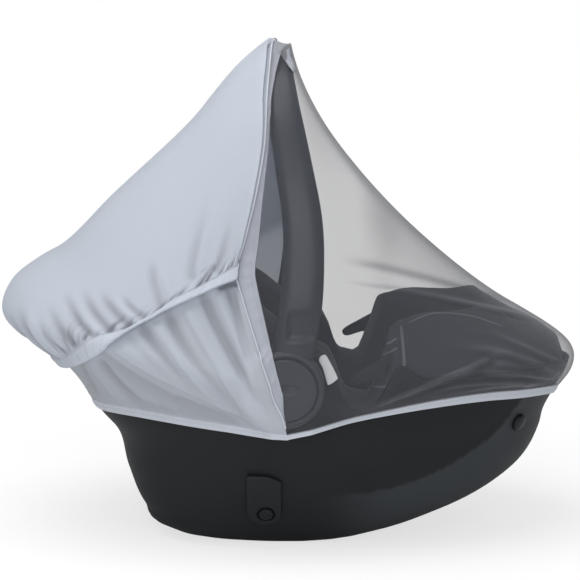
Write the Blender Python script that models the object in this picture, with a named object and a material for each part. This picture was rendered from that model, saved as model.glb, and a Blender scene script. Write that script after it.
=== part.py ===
"""Stretch cover drawn over an infant car seat: jersey head panel, turned-back flap and mesh foot panel."""

import math

import bmesh
import bpy
import numpy as np
from mathutils import Vector

# Frame: metres, +Z up, +X towards the foot end, origin on the rocker's flat spot. The near side is at -Y.

CLOTH = 0.0012
GAP = 0.0004
FLAP_LIFT = 0.0052
SHELL_WALL = 0.004
CAP_STAND = 0.0025
HEM_STAND = 0.0033
BAND_THICKNESS = 0.0020

HUB_X, HUB_Z = -0.005, 0.1945
HUB_INNER_Y, HUB_OUTER_Y = 0.1988, 0.2160
HUB_RADIUS, CAP_RADIUS = 0.0425, 0.0335

HEAD_NOSE_X, FOOT_NOSE_X = -0.3300, 0.3350
HEAD_MIDDLE_X, FOOT_MIDDLE_X = -0.020, -0.008
COVER_HALF_WIDTH = 0.2225
HEAD_SQUARENESS, FOOT_SQUARENESS = 2.2, 2.0

# Outside of the shell: height, rear end, front end, half width. It is squarer near the floor.
SHELL_SQUARENESS, SHELL_SQUARER, SHELL_SQUARER_BELOW = 2.0, 1.2, 0.14
SHELL_SECTIONS = [
    (0.0000, -0.085, 0.050, 0.100),
    (0.0040, -0.125, 0.082, 0.112),
    (0.0120, -0.152, 0.118, 0.124),
    (0.0350, -0.171, 0.186, 0.143),
    (0.0765, -0.190, 0.261, 0.168),
    (0.1220, -0.206, 0.2935, 0.190),
    (0.1400, -0.2230, 0.298, 0.1980),
    (0.1650, -0.2360, 0.311, 0.1980),
    (0.1900, -0.2485, 0.325, 0.1970),
    (0.2350, -0.2970, 0.3270, 0.1940),
    (0.2620, -0.3100, 0.3270, 0.1900),
]

# Seat side seen from the near side: distance along the seat, top of the padded wall.
WALL_TOP = [
    (-0.320, 0.268),
    (-0.200, 0.284),
    (-0.100, 0.290),
    (-0.045, 0.282),
    (-0.011, 0.259),
    (0.030, 0.236),
    (0.048, 0.222),
    (0.058, 0.193),
    (0.077, 0.181),
    (0.096, 0.184),
    (0.106, 0.205),
    (0.122, 0.238),
    (0.158, 0.257),
    (0.203, 0.262),
    (0.240, 0.256),
    (0.280, 0.236),
    (0.320, 0.217),
]

# Centre line of the handle on the near side: place along it, x, y, z, width, thickness.
HANDLE_PATH = [
    (0.00, 0.0020, -0.2065, 0.2300, 0.046, 0.0180),
    (0.10, 0.0105, -0.2060, 0.2770, 0.046, 0.0180),
    (0.22, 0.0145, -0.1995, 0.3300, 0.044, 0.0180),
    (0.32, 0.0135, -0.1920, 0.3700, 0.043, 0.0185),
    (0.46, 0.0040, -0.1750, 0.4300, 0.040, 0.0200),
    (0.61, -0.0070, -0.1490, 0.4900, 0.036, 0.0210),
    (0.72, -0.0115, -0.1205, 0.5265, 0.031, 0.0215),
    (0.80, -0.0130, -0.0915, 0.5420, 0.029, 0.0215),
    (0.90, -0.0135, -0.0450, 0.5475, 0.028, 0.0215),
    (1.00, -0.0135, 0.0000, 0.5480, 0.028, 0.0215),
]
HANDLE_CLEARANCE, HUB_CLEARANCE = 0.0050, 0.0028
# How fast the cloth comes in again beside the arm, low and high, then further off, and beside the hub.
SHOULDER_SLOPE, HIGH_SLOPE, FAR_SLOPE, HUB_SLOPE = 0.55, 1.4, 3.0, 1.6
SHOULDER_REACH, LOW_ARM_TOP, HIGH_BLEND = 0.065, 0.40, 0.10
SHOULDER_SOFTNESS = 0.003
# Nearer the middle plane than this the cloth passes over the grip and needs less push.
OVER_GRIP_WIDTH = 0.06

# Fold line of the flap and piping, near side: place, x, y, z.
SEAM_NEAR = [
    (0.00, -0.0030, -0.2050, 0.1430),
    (0.08, -0.0128, -0.2175, 0.1737),
    (0.18, -0.0266, -0.2190, 0.2171),
    (0.30, -0.0426, -0.2060, 0.2689),
    (0.40, -0.0582, -0.1830, 0.3131),
    (0.48, -0.0484, -0.1830, 0.3520),
    (0.57, -0.0376, -0.1810, 0.3948),
    (0.68, -0.0281, -0.1740, 0.4465),
    (0.83, -0.0240, -0.1480, 0.5150),
    (0.91, -0.0200, -0.1100, 0.5575),
    (0.96, -0.0185, -0.0500, 0.5662),
    (1.00, -0.0190, 0.0000, 0.5665),
]

# Seam of the mesh on the near side. Between it and the fold line lies the pale facing.
MESH_SEAM_NEAR = [
    (0.00, 0.0005, -0.2052, 0.1430),
    (0.08, -0.0085, -0.2182, 0.1737),
    (0.18, -0.0185, -0.2202, 0.2171),
    (0.30, -0.0290, -0.2130, 0.2646),
    (0.40, -0.0375, -0.1930, 0.3160),
    (0.48, -0.0337, -0.1890, 0.3520),
    (0.57, -0.0296, -0.1860, 0.3948),
    (0.68, -0.0240, -0.1760, 0.4465),
    (0.83, -0.0185, -0.1480, 0.5160),
    (0.91, -0.0085, -0.1090, 0.5560),
    (0.96, -0.0010, -0.0500, 0.5635),
    (1.00, 0.0000, 0.0000, 0.5640),
]
# How far the same two seams lie towards the foot end on the far side, where the cover is less pulled back.
FAR_SEAM_SHIFT = [(0.0, 0.0), (0.2, 0.020), (0.4, 0.053), (0.6, 0.036), (0.8, 0.012), (1.0, 0.0)]
KINK = 0.40
KINK_LEAD, KINK_SPREAD = 0.035, 0.014

# Side profiles of the cover from the seam over the nose to the hem: place, how far out, how high,
# then below the widest line how far back in and how far down.
HEAD_PROFILE = [
    (0.00, 0.000, 1.000, 0.000, 0.000),
    (0.08, 0.092, 0.923, 0.000, 0.000),
    (0.30, 0.304, 0.681, 0.000, 0.000),
    (0.54, 0.588, 0.413, 0.000, 0.000),
    (0.72, 0.789, 0.216, 0.000, 0.000),
    (0.80, 0.880, 0.163, 0.000, 0.000),
    (0.87, 0.965, 0.095, 0.000, 0.000),
    (0.94, 1.000, 0.000, 0.000, 0.000),
    (1.00, 1.000, 0.000, 0.150, 0.195),
    (1.06, 1.000, 0.000, 0.400, 0.375),
    (1.11, 1.000, 0.000, 0.620, 0.530),
    (1.16, 1.000, 0.000, 0.790, 0.700),
    (1.21, 1.000, 0.000, 0.925, 0.865),
    (1.25, 1.000, 0.000, 1.000, 1.000),
]
FOOT_PROFILE = [
    (0.00, 0.000, 1.000, 0.000, 0.000),
    (0.07, 0.030, 0.905, 0.000, 0.000),
    (0.16, 0.092, 0.783, 0.000, 0.000),
    (0.32, 0.235, 0.596, 0.000, 0.000),
    (0.55, 0.488, 0.358, 0.000, 0.000),
    (0.76, 0.744, 0.176, 0.000, 0.000),
    (0.88, 0.899, 0.093, 0.000, 0.000),
    (0.94, 0.968, 0.048, 0.000, 0.000),
    (1.00, 1.000, 0.000, 0.000, 0.000),
    (1.06, 1.000, 0.000, 0.170, 0.470),
    (1.11, 1.000, 0.000, 0.570, 0.770),
    (1.15, 1.000, 0.000, 1.000, 1.000),
]
# How much of that hollow line each side has, from the near seam round the nose to the far seam.
HOLLOWNESS = [(0.0, 0.15), (0.15, 0.6), (0.35, 0.95), (0.5, 1.0), (0.65, 0.95), (0.85, 0.6), (1.0, 0.15)]

# Heights round the head end and the foot end, near seam to far seam: widest line, hem.
HEAD_HEIGHTS = [
    (0.00, 0.195, 0.1465),
    (0.10, 0.225, 0.1535),
    (0.25, 0.245, 0.1600),
    (0.40, 0.256, 0.1555),
    (0.50, 0.260, 0.1515),
    (0.60, 0.258, 0.1550),
    (0.75, 0.247, 0.1610),
    (0.90, 0.225, 0.1540),
    (1.00, 0.195, 0.1465),
]
FOOT_HEIGHTS = [
    (0.00, 0.190, 0.1465),
    (0.10, 0.198, 0.1655),
    (0.16, 0.201, 0.1745),
    (0.24, 0.205, 0.1792),
    (0.30, 0.207, 0.1775),
    (0.38, 0.208, 0.1740),
    (0.45, 0.207, 0.1685),
    (0.50, 0.205, 0.1620),
    (0.58, 0.207, 0.1720),
    (0.75, 0.206, 0.1760),
    (0.90, 0.198, 0.1640),
    (1.00, 0.190, 0.1465),
]
# Height of the elastic band under each end's hem, near seam to far seam.
HEAD_BAND = [(0.0, 0.0050), (0.06, 0.0072), (0.2, 0.0086), (0.35, 0.0092), (0.7, 0.0086), (1.0, 0.0050)]
FOOT_BAND = [
    (0.0, 0.0048),
    (0.10, 0.0050),
    (0.16, 0.0072),
    (0.24, 0.0086),
    (0.38, 0.0090),
    (0.5, 0.0085),
    (0.65, 0.0075),
    (0.9, 0.0055),
    (1.0, 0.0050),
]

# Lower edge of the flap in side view: x, height. The far side hangs a little lower.
FLAP_EDGE = [
    (-0.330, 0.188),
    (-0.270, 0.195),
    (-0.250, 0.204),
    (-0.224, 0.220),
    (-0.188, 0.240),
    (-0.135, 0.272),
    (-0.092, 0.295),
    (-0.064, 0.309),
    (0.000, 0.340),
]
FAR_FLAP_DROP = 0.006

# Folds in side view. Each row is a ridge (height above 0) or a trough: its side, then start, middle and end
# as x and z, then width and height. They fade towards both ends.
REAR_FOLDS = [
    ("near", -0.195, 0.232, -0.118, 0.190, -0.006, 0.148, 0.0085, 0.0050),
    ("near", -0.200, 0.224, -0.125, 0.180, -0.030, 0.147, 0.0070, -0.0045),
    ("near", -0.205, 0.205, -0.172, 0.176, -0.140, 0.160, 0.0060, -0.0030),
    ("near", -0.172, 0.250, -0.140, 0.218, -0.060, 0.160, 0.0080, -0.0030),
    ("near", -0.142, 0.264, -0.110, 0.212, -0.040, 0.158, 0.0080, 0.0035),
    ("near", -0.102, 0.286, -0.074, 0.236, -0.026, 0.165, 0.0080, -0.0032),
    ("near", -0.072, 0.300, -0.046, 0.236, -0.018, 0.160, 0.0070, 0.0030),
    ("far", -0.215, 0.222, -0.130, 0.184, -0.012, 0.150, 0.0090, 0.0045),
    ("far", -0.180, 0.240, -0.110, 0.205, -0.030, 0.160, 0.0080, -0.0032),
    ("far", -0.110, 0.284, -0.080, 0.220, -0.025, 0.160, 0.0080, 0.0030),
]
FLAP_FOLDS = [
    ("near", -0.300, 0.235, -0.279, 0.214, -0.262, 0.200, 0.0060, -0.0022),
    ("near", -0.288, 0.258, -0.262, 0.222, -0.235, 0.212, 0.0065, 0.0030),
    ("near", -0.250, 0.262, -0.226, 0.236, -0.206, 0.228, 0.0060, -0.0021),
    ("near", -0.222, 0.276, -0.205, 0.252, -0.190, 0.240, 0.0060, 0.0026),
    ("near", -0.192, 0.284, -0.178, 0.266, -0.164, 0.256, 0.0055, -0.0020),
    ("near", -0.078, 0.400, -0.086, 0.350, -0.104, 0.312, 0.0130, -0.0022),
    ("near", -0.058, 0.392, -0.066, 0.340, -0.074, 0.316, 0.0110, 0.0030),
    ("far", -0.296, 0.240, -0.270, 0.215, -0.240, 0.202, 0.0065, -0.0022),
    ("far", -0.255, 0.258, -0.228, 0.232, -0.200, 0.220, 0.0065, 0.0030),
    ("far", -0.190, 0.280, -0.172, 0.262, -0.155, 0.250, 0.0060, -0.0020),
]
MESH_FOLDS = [
    ("near", 0.050, 0.300, 0.130, 0.285, 0.285, 0.252, 0.0060, 0.0026),
    ("near", 0.075, 0.170, 0.130, 0.190, 0.235, 0.222, 0.0065, 0.0028),
    ("near", 0.200, 0.198, 0.240, 0.206, 0.300, 0.222, 0.0055, -0.0024),
    ("near", 0.205, 0.184, 0.250, 0.190, 0.305, 0.204, 0.0055, 0.0026),
    ("far", 0.060, 0.290, 0.140, 0.276, 0.270, 0.246, 0.0070, 0.0028),
    ("far", 0.120, 0.185, 0.190, 0.200, 0.290, 0.216, 0.0065, -0.0026),
]

COLOURS = {
    "jersey": ((0.56, 0.61, 0.70), 0.85),
    "pale_trim": ((0.62, 0.65, 0.70), 0.80),
    "mesh": ((0.10, 0.11, 0.13), 0.80),
    "black_plastic": ((0.012, 0.013, 0.015), 0.45),
    "dark_fabric": ((0.035, 0.037, 0.042), 0.95),
    "grey_plastic": ((0.045, 0.050, 0.060), 0.50),
    "pale_plastic": ((0.60, 0.61, 0.63), 0.50),
}


def along(rows, places):
    """Columns of a table at these places in its first column, on a smooth curve through its rows."""
    rows = np.asarray(rows, float)
    key, values = rows[:, 0], rows[:, 1:]
    slope = np.gradient(values, key, axis=0)
    places = np.clip(np.asarray(places, float), key[0], key[-1])
    low = np.clip(np.searchsorted(key, places, side="right") - 1, 0, len(key) - 2)
    step = (key[low + 1] - key[low])[..., None]
    u = (places - key[low])[..., None] / step
    start = (1 + 2 * u) * (1 - u) ** 2 * values[low] + u * (1 - u) ** 2 * step * slope[low]
    end = u * u * (3 - 2 * u) * values[low + 1] + u * u * (u - 1) * step * slope[low + 1]
    return start + end


def smooth_step(value):
    value = np.clip(value, 0.0, 1.0)
    return value * value * (3 - 2 * value)


def power(value, exponent):
    """Signed power, which turns a circle's sine and cosine into a squarer oval's."""
    return np.sign(value) * np.abs(value) ** exponent


def shell_oval(angle, height, outwards=0.0):
    """Points on the shell's outside at these angles from +X and heights, moved outwards in plan."""
    rear, front, half = np.moveaxis(along(SHELL_SECTIONS, height), -1, 0)
    squareness = SHELL_SQUARENESS + SHELL_SQUARER * smooth_step(1 - np.asarray(height) / SHELL_SQUARER_BELOW)
    turn = 2 / squareness
    reach = np.where(np.cos(angle) > 0, front, -rear) + outwards
    x = reach * power(np.cos(angle), turn)
    y = (half + outwards) * power(np.sin(angle), turn)
    return np.stack([x, y, np.broadcast_to(height, x.shape)], axis=-1)


def arch(near_rows, places):
    """A seam over the handle, from the near corner at 0 over the top at 1 to the far corner at 2."""
    places = np.asarray(places, float)
    folded = 1 - np.abs(places - 1)
    points = along(near_rows, folded)
    far = places > 1
    points[..., 1] = np.where(far, -points[..., 1], points[..., 1])
    points[..., 0] += np.where(far, along(FAR_SEAM_SHIFT, folded)[..., 0], 0.0)
    return points


def handle_reach(points):
    """How far out from the middle plane the cloth must be here to clear the handle and its hub."""
    x, y, z = np.moveaxis(points, -1, 0)
    path = np.array(HANDLE_PATH)
    tangent = np.gradient(path[:, 2:4], axis=0)
    tangent /= np.linalg.norm(tangent, axis=1, keepdims=True)
    stand = path[:, 5] / 2 + HANDLE_CLEARANCE
    outer_y = -path[:, 2] + tangent[:, 1] * stand
    outer_z = path[:, 3] + tangent[:, 0] * stand
    centre_x = np.interp(z, outer_z, path[:, 1])
    beside = np.maximum(np.abs(x - centre_x) - 0.46 * np.interp(z, outer_z, path[:, 4]), 0.0)
    slope = SHOULDER_SLOPE + (HIGH_SLOPE - SHOULDER_SLOPE) * smooth_step((z - LOW_ARM_TOP) / HIGH_BLEND)
    arm = np.interp(z, outer_z, outer_y) - slope * beside
    arm -= FAR_SLOPE * np.maximum(beside - SHOULDER_REACH, 0.0)
    arm = arm * (1 - smooth_step((z - outer_z[-2]) / 0.002))
    from_hub = np.hypot(x - HUB_X, z - HUB_Z)
    hub = HUB_OUTER_Y + CAP_STAND + CLOTH + HUB_CLEARANCE - HUB_SLOPE * np.maximum(from_hub - HUB_RADIUS, 0.0)
    return np.maximum(arm, hub)


def over_handle(points):
    """Cloth pushed out sideways where it would cut the handle, with a soft shoulder on both sides."""
    y = points[..., 1]
    reach = handle_reach(points)
    out = 0.5 * (np.abs(y) + reach + np.sqrt((np.abs(y) - reach) ** 2 + SHOULDER_SOFTNESS**2))
    side = np.where(y < 0, -1.0, 1.0)
    blend = smooth_step(np.abs(y) / OVER_GRIP_WIDTH)
    return np.stack(
        [points[..., 0], side * (np.abs(y) + (out - np.abs(y)) * blend), points[..., 2]], axis=-1
    )


def hem_angle(side, places):
    """Angle round the shell of a place on the hem: side is -1 at the head end and 1 at the foot end."""
    near_corner = -math.pi / 2 - 0.012
    return near_corner + side * places * (math.pi + side * 0.024)


def kink_lead(places):
    """How far the lower cloth runs ahead round the head end, to leave the kinked seam without a fold."""
    rise = (1 - np.exp(-places / KINK_SPREAD)) * (1 - np.exp(-(1 - places) / KINK_SPREAD))
    return KINK_LEAD * rise * (1 - 2 * places)


def skirt(places, downs, seam, profile, heights, nose_x, squareness):
    """The cover's outside on one end. places run from the near seam round the nose to the far seam at 1,
    downs from the seam at 0 to the hem at 1."""
    places, downs = np.broadcast_arrays(places, downs)
    start, reach = profile[0][0], profile[-1][0]
    out, up, back, down = np.moveaxis(along(profile, start + downs * (reach - start)), -1, 0)
    hollow = along(HOLLOWNESS, places)[..., 0]
    up = (1 - out) + (up - (1 - out)) * hollow
    top = arch(seam, KINK + places * (2 - 2 * KINK))
    turn = 2 / squareness
    side = np.sign(nose_x)
    if side < 0:
        places = places + kink_lead(places)
    widest_z, hem_z = np.moveaxis(along(heights, places), -1, 0)
    middle_x = HEAD_MIDDLE_X if side < 0 else FOOT_MIDDLE_X
    middle = np.stack(
        [
            middle_x + (nose_x - middle_x) * power(np.sin(math.pi * places), turn),
            -COVER_HALF_WIDTH * power(np.cos(math.pi * places), turn),
            widest_z,
        ],
        axis=-1,
    )
    hem = shell_oval(hem_angle(side, places), hem_z, HEM_STAND)
    points = middle + (top - middle) * np.stack([1 - out, 1 - out, up], axis=-1)
    points += (hem - middle) * np.stack([back, back, down], axis=-1)
    return over_handle(points)


def head_skirt(places, downs):
    return skirt(
        places, downs, SEAM_NEAR, HEAD_PROFILE, HEAD_HEIGHTS, HEAD_NOSE_X, HEAD_SQUARENESS
    )


def foot_skirt(places, downs):
    return skirt(
        places, downs, MESH_SEAM_NEAR, FOOT_PROFILE, FOOT_HEIGHTS, FOOT_NOSE_X, FOOT_SQUARENESS
    )


def seam_line(rows, skirt_of_it, places):
    """A seam with its lower ends on the edges of the panel that it joins."""
    points = over_handle(arch(rows, places))
    folded = 1 - np.abs(places - 1)
    low = folded < KINK
    on_panel = skirt_of_it(np.where(places > 1, 1.0, 0.0)[low], 1 - folded[low] / KINK)
    points[low] = on_panel
    return points


def normals(grid):
    """Unit normals of a grid of points, which face away from the seat."""
    across = np.gradient(grid, axis=0)
    along_it = np.gradient(grid, axis=1)
    found = np.cross(across, along_it)
    found /= np.maximum(np.linalg.norm(found, axis=-1, keepdims=True), 1e-9)
    inside = np.array([0.0, 0.0, 0.20])
    facing = np.sum(found * (grid - inside), axis=-1).sum()
    return found if facing > 0 else -found


def fold_heights(grid, folds):
    """Sum of the folds of one panel at each point of its grid."""
    total = np.zeros(grid.shape[:-1])
    x, y, z = np.moveaxis(grid, -1, 0)
    for side, x0, z0, x1, z1, x2, z2, width, height in folds:
        ends = np.linspace(0, 1, 25)
        line_x = (1 - ends) ** 2 * x0 + 2 * ends * (1 - ends) * (2 * x1 - 0.5 * (x0 + x2)) + ends**2 * x2
        line_z = (1 - ends) ** 2 * z0 + 2 * ends * (1 - ends) * (2 * z1 - 0.5 * (z0 + z2)) + ends**2 * z2
        apart = np.hypot(x[..., None] - line_x, z[..., None] - line_z)
        nearest = apart.argmin(axis=-1)
        fade = smooth_step(4 * ends[nearest] + 0.15) * smooth_step(4 * (1 - ends[nearest]) + 0.15)
        on_side = y < -0.02 if side == "near" else y > 0.02
        total += np.where(on_side, height * fade * np.exp(-((apart.min(axis=-1) / width) ** 2)), 0.0)
    return total


# Over how many rows and columns next to a panel's rim its folds fade.
CALM_ROWS, CALM_COLUMNS = 2.0, 1.5


def creased(grid, folds, thickness, share=1.0):
    """Outside and inside of a panel with its folds raised and sunk, whose rim stays where it is."""
    lift = fold_heights(grid, folds) * share
    rows, columns = lift.shape
    row = np.minimum(np.arange(rows), rows - 1 - np.arange(rows)) / CALM_ROWS
    column = np.minimum(np.arange(columns), columns - 1 - np.arange(columns)) / CALM_COLUMNS
    lift = lift * smooth_step(row)[:, None] * smooth_step(column)[None, :]
    facing = normals(grid)
    outside = grid + facing * lift[..., None]
    return outside, outside - facing * thickness


def make_material(name):
    colour, roughness = COLOURS[name]
    material = bpy.data.materials.new(name)
    material.use_nodes = True
    shader = material.node_tree.nodes["Principled BSDF"]
    shader.inputs["Base Color"].default_value = (*colour, 1.0)
    shader.inputs["Roughness"].default_value = roughness
    return material


def add_mesh(name, points, faces, material):
    """A mesh object from points and faces, with its faces turned to point outwards."""
    mesh = bpy.data.meshes.new(name)
    mesh.from_pydata([tuple(map(float, p)) for p in points], [], [tuple(map(int, f)) for f in faces])
    work = bmesh.new()
    work.from_mesh(mesh)
    bmesh.ops.remove_doubles(work, verts=work.verts, dist=0.00001)
    bmesh.ops.dissolve_degenerate(work, dist=0.00001, edges=work.edges)
    bmesh.ops.recalc_face_normals(work, faces=work.faces)
    work.to_mesh(mesh)
    work.free()
    mesh.shade_smooth()
    mesh.set_sharp_from_angle(angle=math.radians(40))
    mesh.materials.append(material)
    thing = bpy.data.objects.new(name, mesh)
    bpy.context.scene.collection.objects.link(thing)
    return thing


def add_sheet(name, outside, inside, material):
    """A thin solid between two grids of points, closed round its four edges."""
    rows, columns = outside.shape[:2]
    points = np.concatenate([outside.reshape(-1, 3), inside.reshape(-1, 3)])
    index = np.arange(rows * columns).reshape(rows, columns)
    below = index + rows * columns
    faces = []
    for i in range(rows - 1):
        for j in range(columns - 1):
            faces.append((index[i, j], index[i + 1, j], index[i + 1, j + 1], index[i, j + 1]))
            faces.append((below[i, j], below[i, j + 1], below[i + 1, j + 1], below[i + 1, j]))
    rim = list(index[:, 0]) + list(index[-1, 1:]) + list(index[-2::-1, -1]) + list(index[0, -2:0:-1])
    for one, other in zip(rim, rim[1:] + rim[:1]):
        faces.append((other, one, one + rows * columns, other + rows * columns))
    return add_mesh(name, points, faces, material)


def add_ring(name, sections, material, closed=True):
    """A tube through sections of equal size. Where it isn't closed, its ends are capped."""
    count, around = sections.shape[:2]
    points = sections.reshape(-1, 3)
    index = np.arange(count * around).reshape(count, around)
    faces = []
    for i in range(count if closed else count - 1):
        after = (i + 1) % count
        for j in range(around):
            beside = (j + 1) % around
            faces.append((index[i, j], index[after, j], index[after, beside], index[i, beside]))
    if not closed:
        faces.append(tuple(index[0]))
        faces.append(tuple(index[-1][::-1]))
    return add_mesh(name, points, faces, material)


def add_disc(name, centre, outwards, radius, depth, material, bevel, sides=28):
    """A round plate that stands on the point centre, with its axis outwards and a bevelled outer edge."""
    rings = [(radius, 0.0), (radius, depth - bevel), (radius - bevel, depth)]
    angles = np.arange(sides) * 2 * math.pi / sides
    axis = Vector(outwards).normalized()
    turn = Vector((0, 0, 1)).rotation_difference(axis)
    points = []
    for reach, rise in rings:
        for angle in angles:
            place = turn @ Vector((reach * math.cos(angle), reach * math.sin(angle), rise))
            points.append(Vector(centre) + place)
    faces = [tuple(range(sides)), tuple(range(2 * sides, 3 * sides))]
    for ring in range(len(rings) - 1):
        for j in range(sides):
            after = (j + 1) % sides
            low = ring * sides
            faces.append((low + j, low + after, low + sides + after, low + sides + j))
    return add_mesh(name, points, faces, material)


def add_plate(name, outline, inner_y, outer_y, material):
    """A flat plate whose outline is given in side view, between two planes across the seat."""
    count = len(outline)
    points = [(x, inner_y, z) for x, z in outline] + [(x, outer_y, z) for x, z in outline]
    faces = [tuple(range(count)), tuple(range(count, 2 * count))]
    for j in range(count):
        after = (j + 1) % count
        faces.append((j, after, after + count, j + count))
    return add_mesh(name, points, faces, material)


# Where the seat's side needs close columns: the notch under the belt hook.
NOTCH_X = [0.036, 0.048, 0.054, 0.060, 0.070, 0.084, 0.097, 0.103, 0.109, 0.117, 0.128, 0.145]
SEAT_COLUMNS = 40
BASE_HEIGHTS = [0.0, 0.004, 0.012, 0.035, 0.0765, 0.122, 0.145]
UPPER_SHARES = [0.4, 0.75, 1.0]
SHELL_RIM_DROP = 0.012
SHELL_RIM_LOW, SHELL_RIM_HIGH = 0.168, 0.262
PAD_GAP = SHELL_WALL + 0.0019
PAD_LEAN = 0.62
SEAT_FLOOR = [
    (-0.30, 0.205),
    (-0.20, 0.150),
    (-0.08, 0.095),
    (0.04, 0.080),
    (0.12, 0.095),
    (0.20, 0.130),
    (0.30, 0.165),
]
CAVITY_HALF_WIDTH = 0.118
CAVITY_HEAD, CAVITY_FOOT = 0.262, 0.275


def seat_angles():
    """Angles round the seat, evenly spread but for the columns at the two notches."""
    notch = np.arccos(np.array(NOTCH_X) / 0.326)
    wanted = np.concatenate([notch, 2 * math.pi - notch])
    spread = np.arange(SEAT_COLUMNS) * 2 * math.pi / SEAT_COLUMNS
    apart = np.abs(spread[:, None] - wanted[None, :]).min(axis=1)
    return np.sort(np.concatenate([spread[apart > 0.035], wanted]))


def wall_top(x):
    return along(WALL_TOP, x)[..., 0]


def rim_height(angle):
    """Height of the shell's rim at each angle, a little under the padding's top and lower round the foot."""
    x = shell_oval(angle, np.full_like(angle, 0.20))[..., 0]
    low = np.clip(wall_top(x) - SHELL_RIM_DROP, SHELL_RIM_LOW, SHELL_RIM_HIGH)
    return low + (0.200 - low) * smooth_step((x - 0.10) / 0.05)


def wall_rings(angle, heights, outwards):
    """Rings of the seat's side at the fixed heights and then up to the rim."""
    rim = rim_height(angle)
    rings = [shell_oval(angle, np.full_like(angle, height), outwards) for height in heights]
    top = BASE_HEIGHTS[-1]
    rings += [shell_oval(angle, top + share * (rim - top), outwards) for share in UPPER_SHARES]
    return rings


def add_shell(materials):
    """The bucket: its outside from the flat spot up to the rim, then its inside down to the floor."""
    angle = seat_angles()
    rings = wall_rings(angle, BASE_HEIGHTS, 0.0)
    rings += wall_rings(angle, BASE_HEIGHTS[3:], -SHELL_WALL)[::-1]
    floor = shell_oval(angle, np.full_like(angle, 0.014), -2 * SHELL_WALL)
    rings.append(floor)
    add_ring("shell", np.array(rings), materials["black_plastic"], closed=False)


def add_liner(materials):
    """The padded seat: its outside follows the shell and leans in above it, its hollow holds the child."""
    angle = seat_angles()
    rim = rim_height(angle)
    at_rim = shell_oval(angle, rim)
    top = np.maximum(wall_top(at_rim[:, 0]), rim + 0.006)
    rings = wall_rings(angle, BASE_HEIGHTS[3:], -PAD_GAP)
    rings[0][:, 2] += 0.004
    for share, round_off in ((0.45, 0.0), (0.85, 0.002), (1.0, 0.010)):
        height = rim + share * (top - rim)
        inset = PAD_GAP + PAD_LEAN * (height - rim) + round_off
        ring = at_rim.copy()
        ring[:, :2] *= (1 - inset / np.linalg.norm(at_rim[:, :2], axis=1))[:, None]
        ring[:, 2] = height
        rings.append(ring)
    crest = rings[-1]
    inner = np.stack(
        [
            np.where(np.cos(angle) > 0, CAVITY_FOOT, CAVITY_HEAD) * power(np.cos(angle), 0.9),
            CAVITY_HALF_WIDTH * power(np.sin(angle), 0.8),
            crest[:, 2] - 0.006,
        ],
        axis=-1,
    )
    rings.append(0.4 * crest + 0.6 * inner + np.array([0.0, 0.0, 0.004]))
    floor_z = along(SEAT_FLOOR, inner[:, 0])[..., 0]
    for share, narrow in ((0.35, 0.97), (0.8, 0.91), (1.0, 0.78)):
        ring = inner * np.array([narrow, narrow, 1.0])
        ring[:, 2] += share * (floor_z - inner[:, 2])
        rings.append(ring)
    add_ring("liner", np.array(rings), materials["dark_fabric"], closed=False)


def handle_sections(steps, around):
    """Rounded sections of the handle from the near hub over the grip to the far hub."""
    places = np.linspace(0, 2, steps)
    columns = along(HANDLE_PATH, 1 - np.abs(places - 1))
    centre = columns[:, :3].copy()
    centre[:, 1] *= np.where(places > 1, -1, 1)
    tangent = np.gradient(centre, axis=0)
    tangent /= np.linalg.norm(tangent, axis=1, keepdims=True)
    wide = np.array([1.0, 0.0, 0.0]) - tangent * tangent[:, :1]
    wide /= np.linalg.norm(wide, axis=1, keepdims=True)
    thick = np.cross(tangent, wide)
    turn = (np.arange(around) + 0.5) * 2 * math.pi / around
    across_wide = columns[:, 3, None] / 2 * power(np.cos(turn), 0.7)[None, :]
    across_thick = columns[:, 4, None] / 2 * power(np.sin(turn), 0.7)[None, :]
    return (
        centre[:, None]
        + wide[:, None] * across_wide[..., None]
        + thick[:, None] * across_thick[..., None]
    )


def join_to(whole, piece):
    """Makes piece part of whole, and leaves it out as an object of its own."""
    join = whole.modifiers.new(piece.name, "BOOLEAN")
    join.operation = "UNION"
    join.object = piece
    piece.hide_render = True
    piece.display_type = "WIRE"


def add_handle(materials):
    """The arch and its two hub plates, one moulding, with a release cap on each plate."""
    plastic = materials["grey_plastic"]
    whole = add_ring("handle", handle_sections(33, 10), plastic, closed=False)
    for label, side in (("near", -1), ("far", 1)):
        depth = HUB_OUTER_Y - HUB_INNER_Y
        centre = (HUB_X, side * HUB_INNER_Y, HUB_Z)
        plate = add_disc(f"hub_plate_{label}", centre, (0, side, 0), HUB_RADIUS, depth, plastic, 0.003)
        join_to(whole, plate)
        centre = (HUB_X, side * (HUB_OUTER_Y + GAP), HUB_Z)
        add_disc(f"hub_cap_{label}", centre, (0, side, 0), CAP_RADIUS, CAP_STAND, plastic, 0.001)


# Belt hook, a beak over the notch in the seat's side, in side view.
HOOK_OUTLINE = [
    (0.0670, 0.1990),
    (0.0690, 0.2050),
    (0.0860, 0.2150),
    (0.1100, 0.2270),
    (0.1055, 0.2160),
    (0.1015, 0.2030),
    (0.0900, 0.2010),
    (0.0730, 0.1960),
]
HOOK_INNER_Y, HOOK_OUTER_Y = 0.1771, 0.1826
# Blank pale plate beside the hub on the near side, in side view.
PLATE_OUTLINE = [
    (0.0310, 0.2240),
    (0.0330, 0.2285),
    (0.0365, 0.2300),
    (0.0400, 0.2275),
    (0.0505, 0.2070),
    (0.0495, 0.2025),
    (0.0415, 0.1975),
    (0.0395, 0.2010),
    (0.0350, 0.2160),
]
PLATE_INNER_Y, PLATE_THICKNESS = 0.1955, 0.0030
STUD_X, STUD_HEIGHT, STUD_RADIUS, STUD_DEPTH = 0.257, 0.1385, 0.0100, 0.0050
STUD_BEVEL, STUD_DROOP, STUD_STAND = 0.002, 1.6, 0.0016
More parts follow.
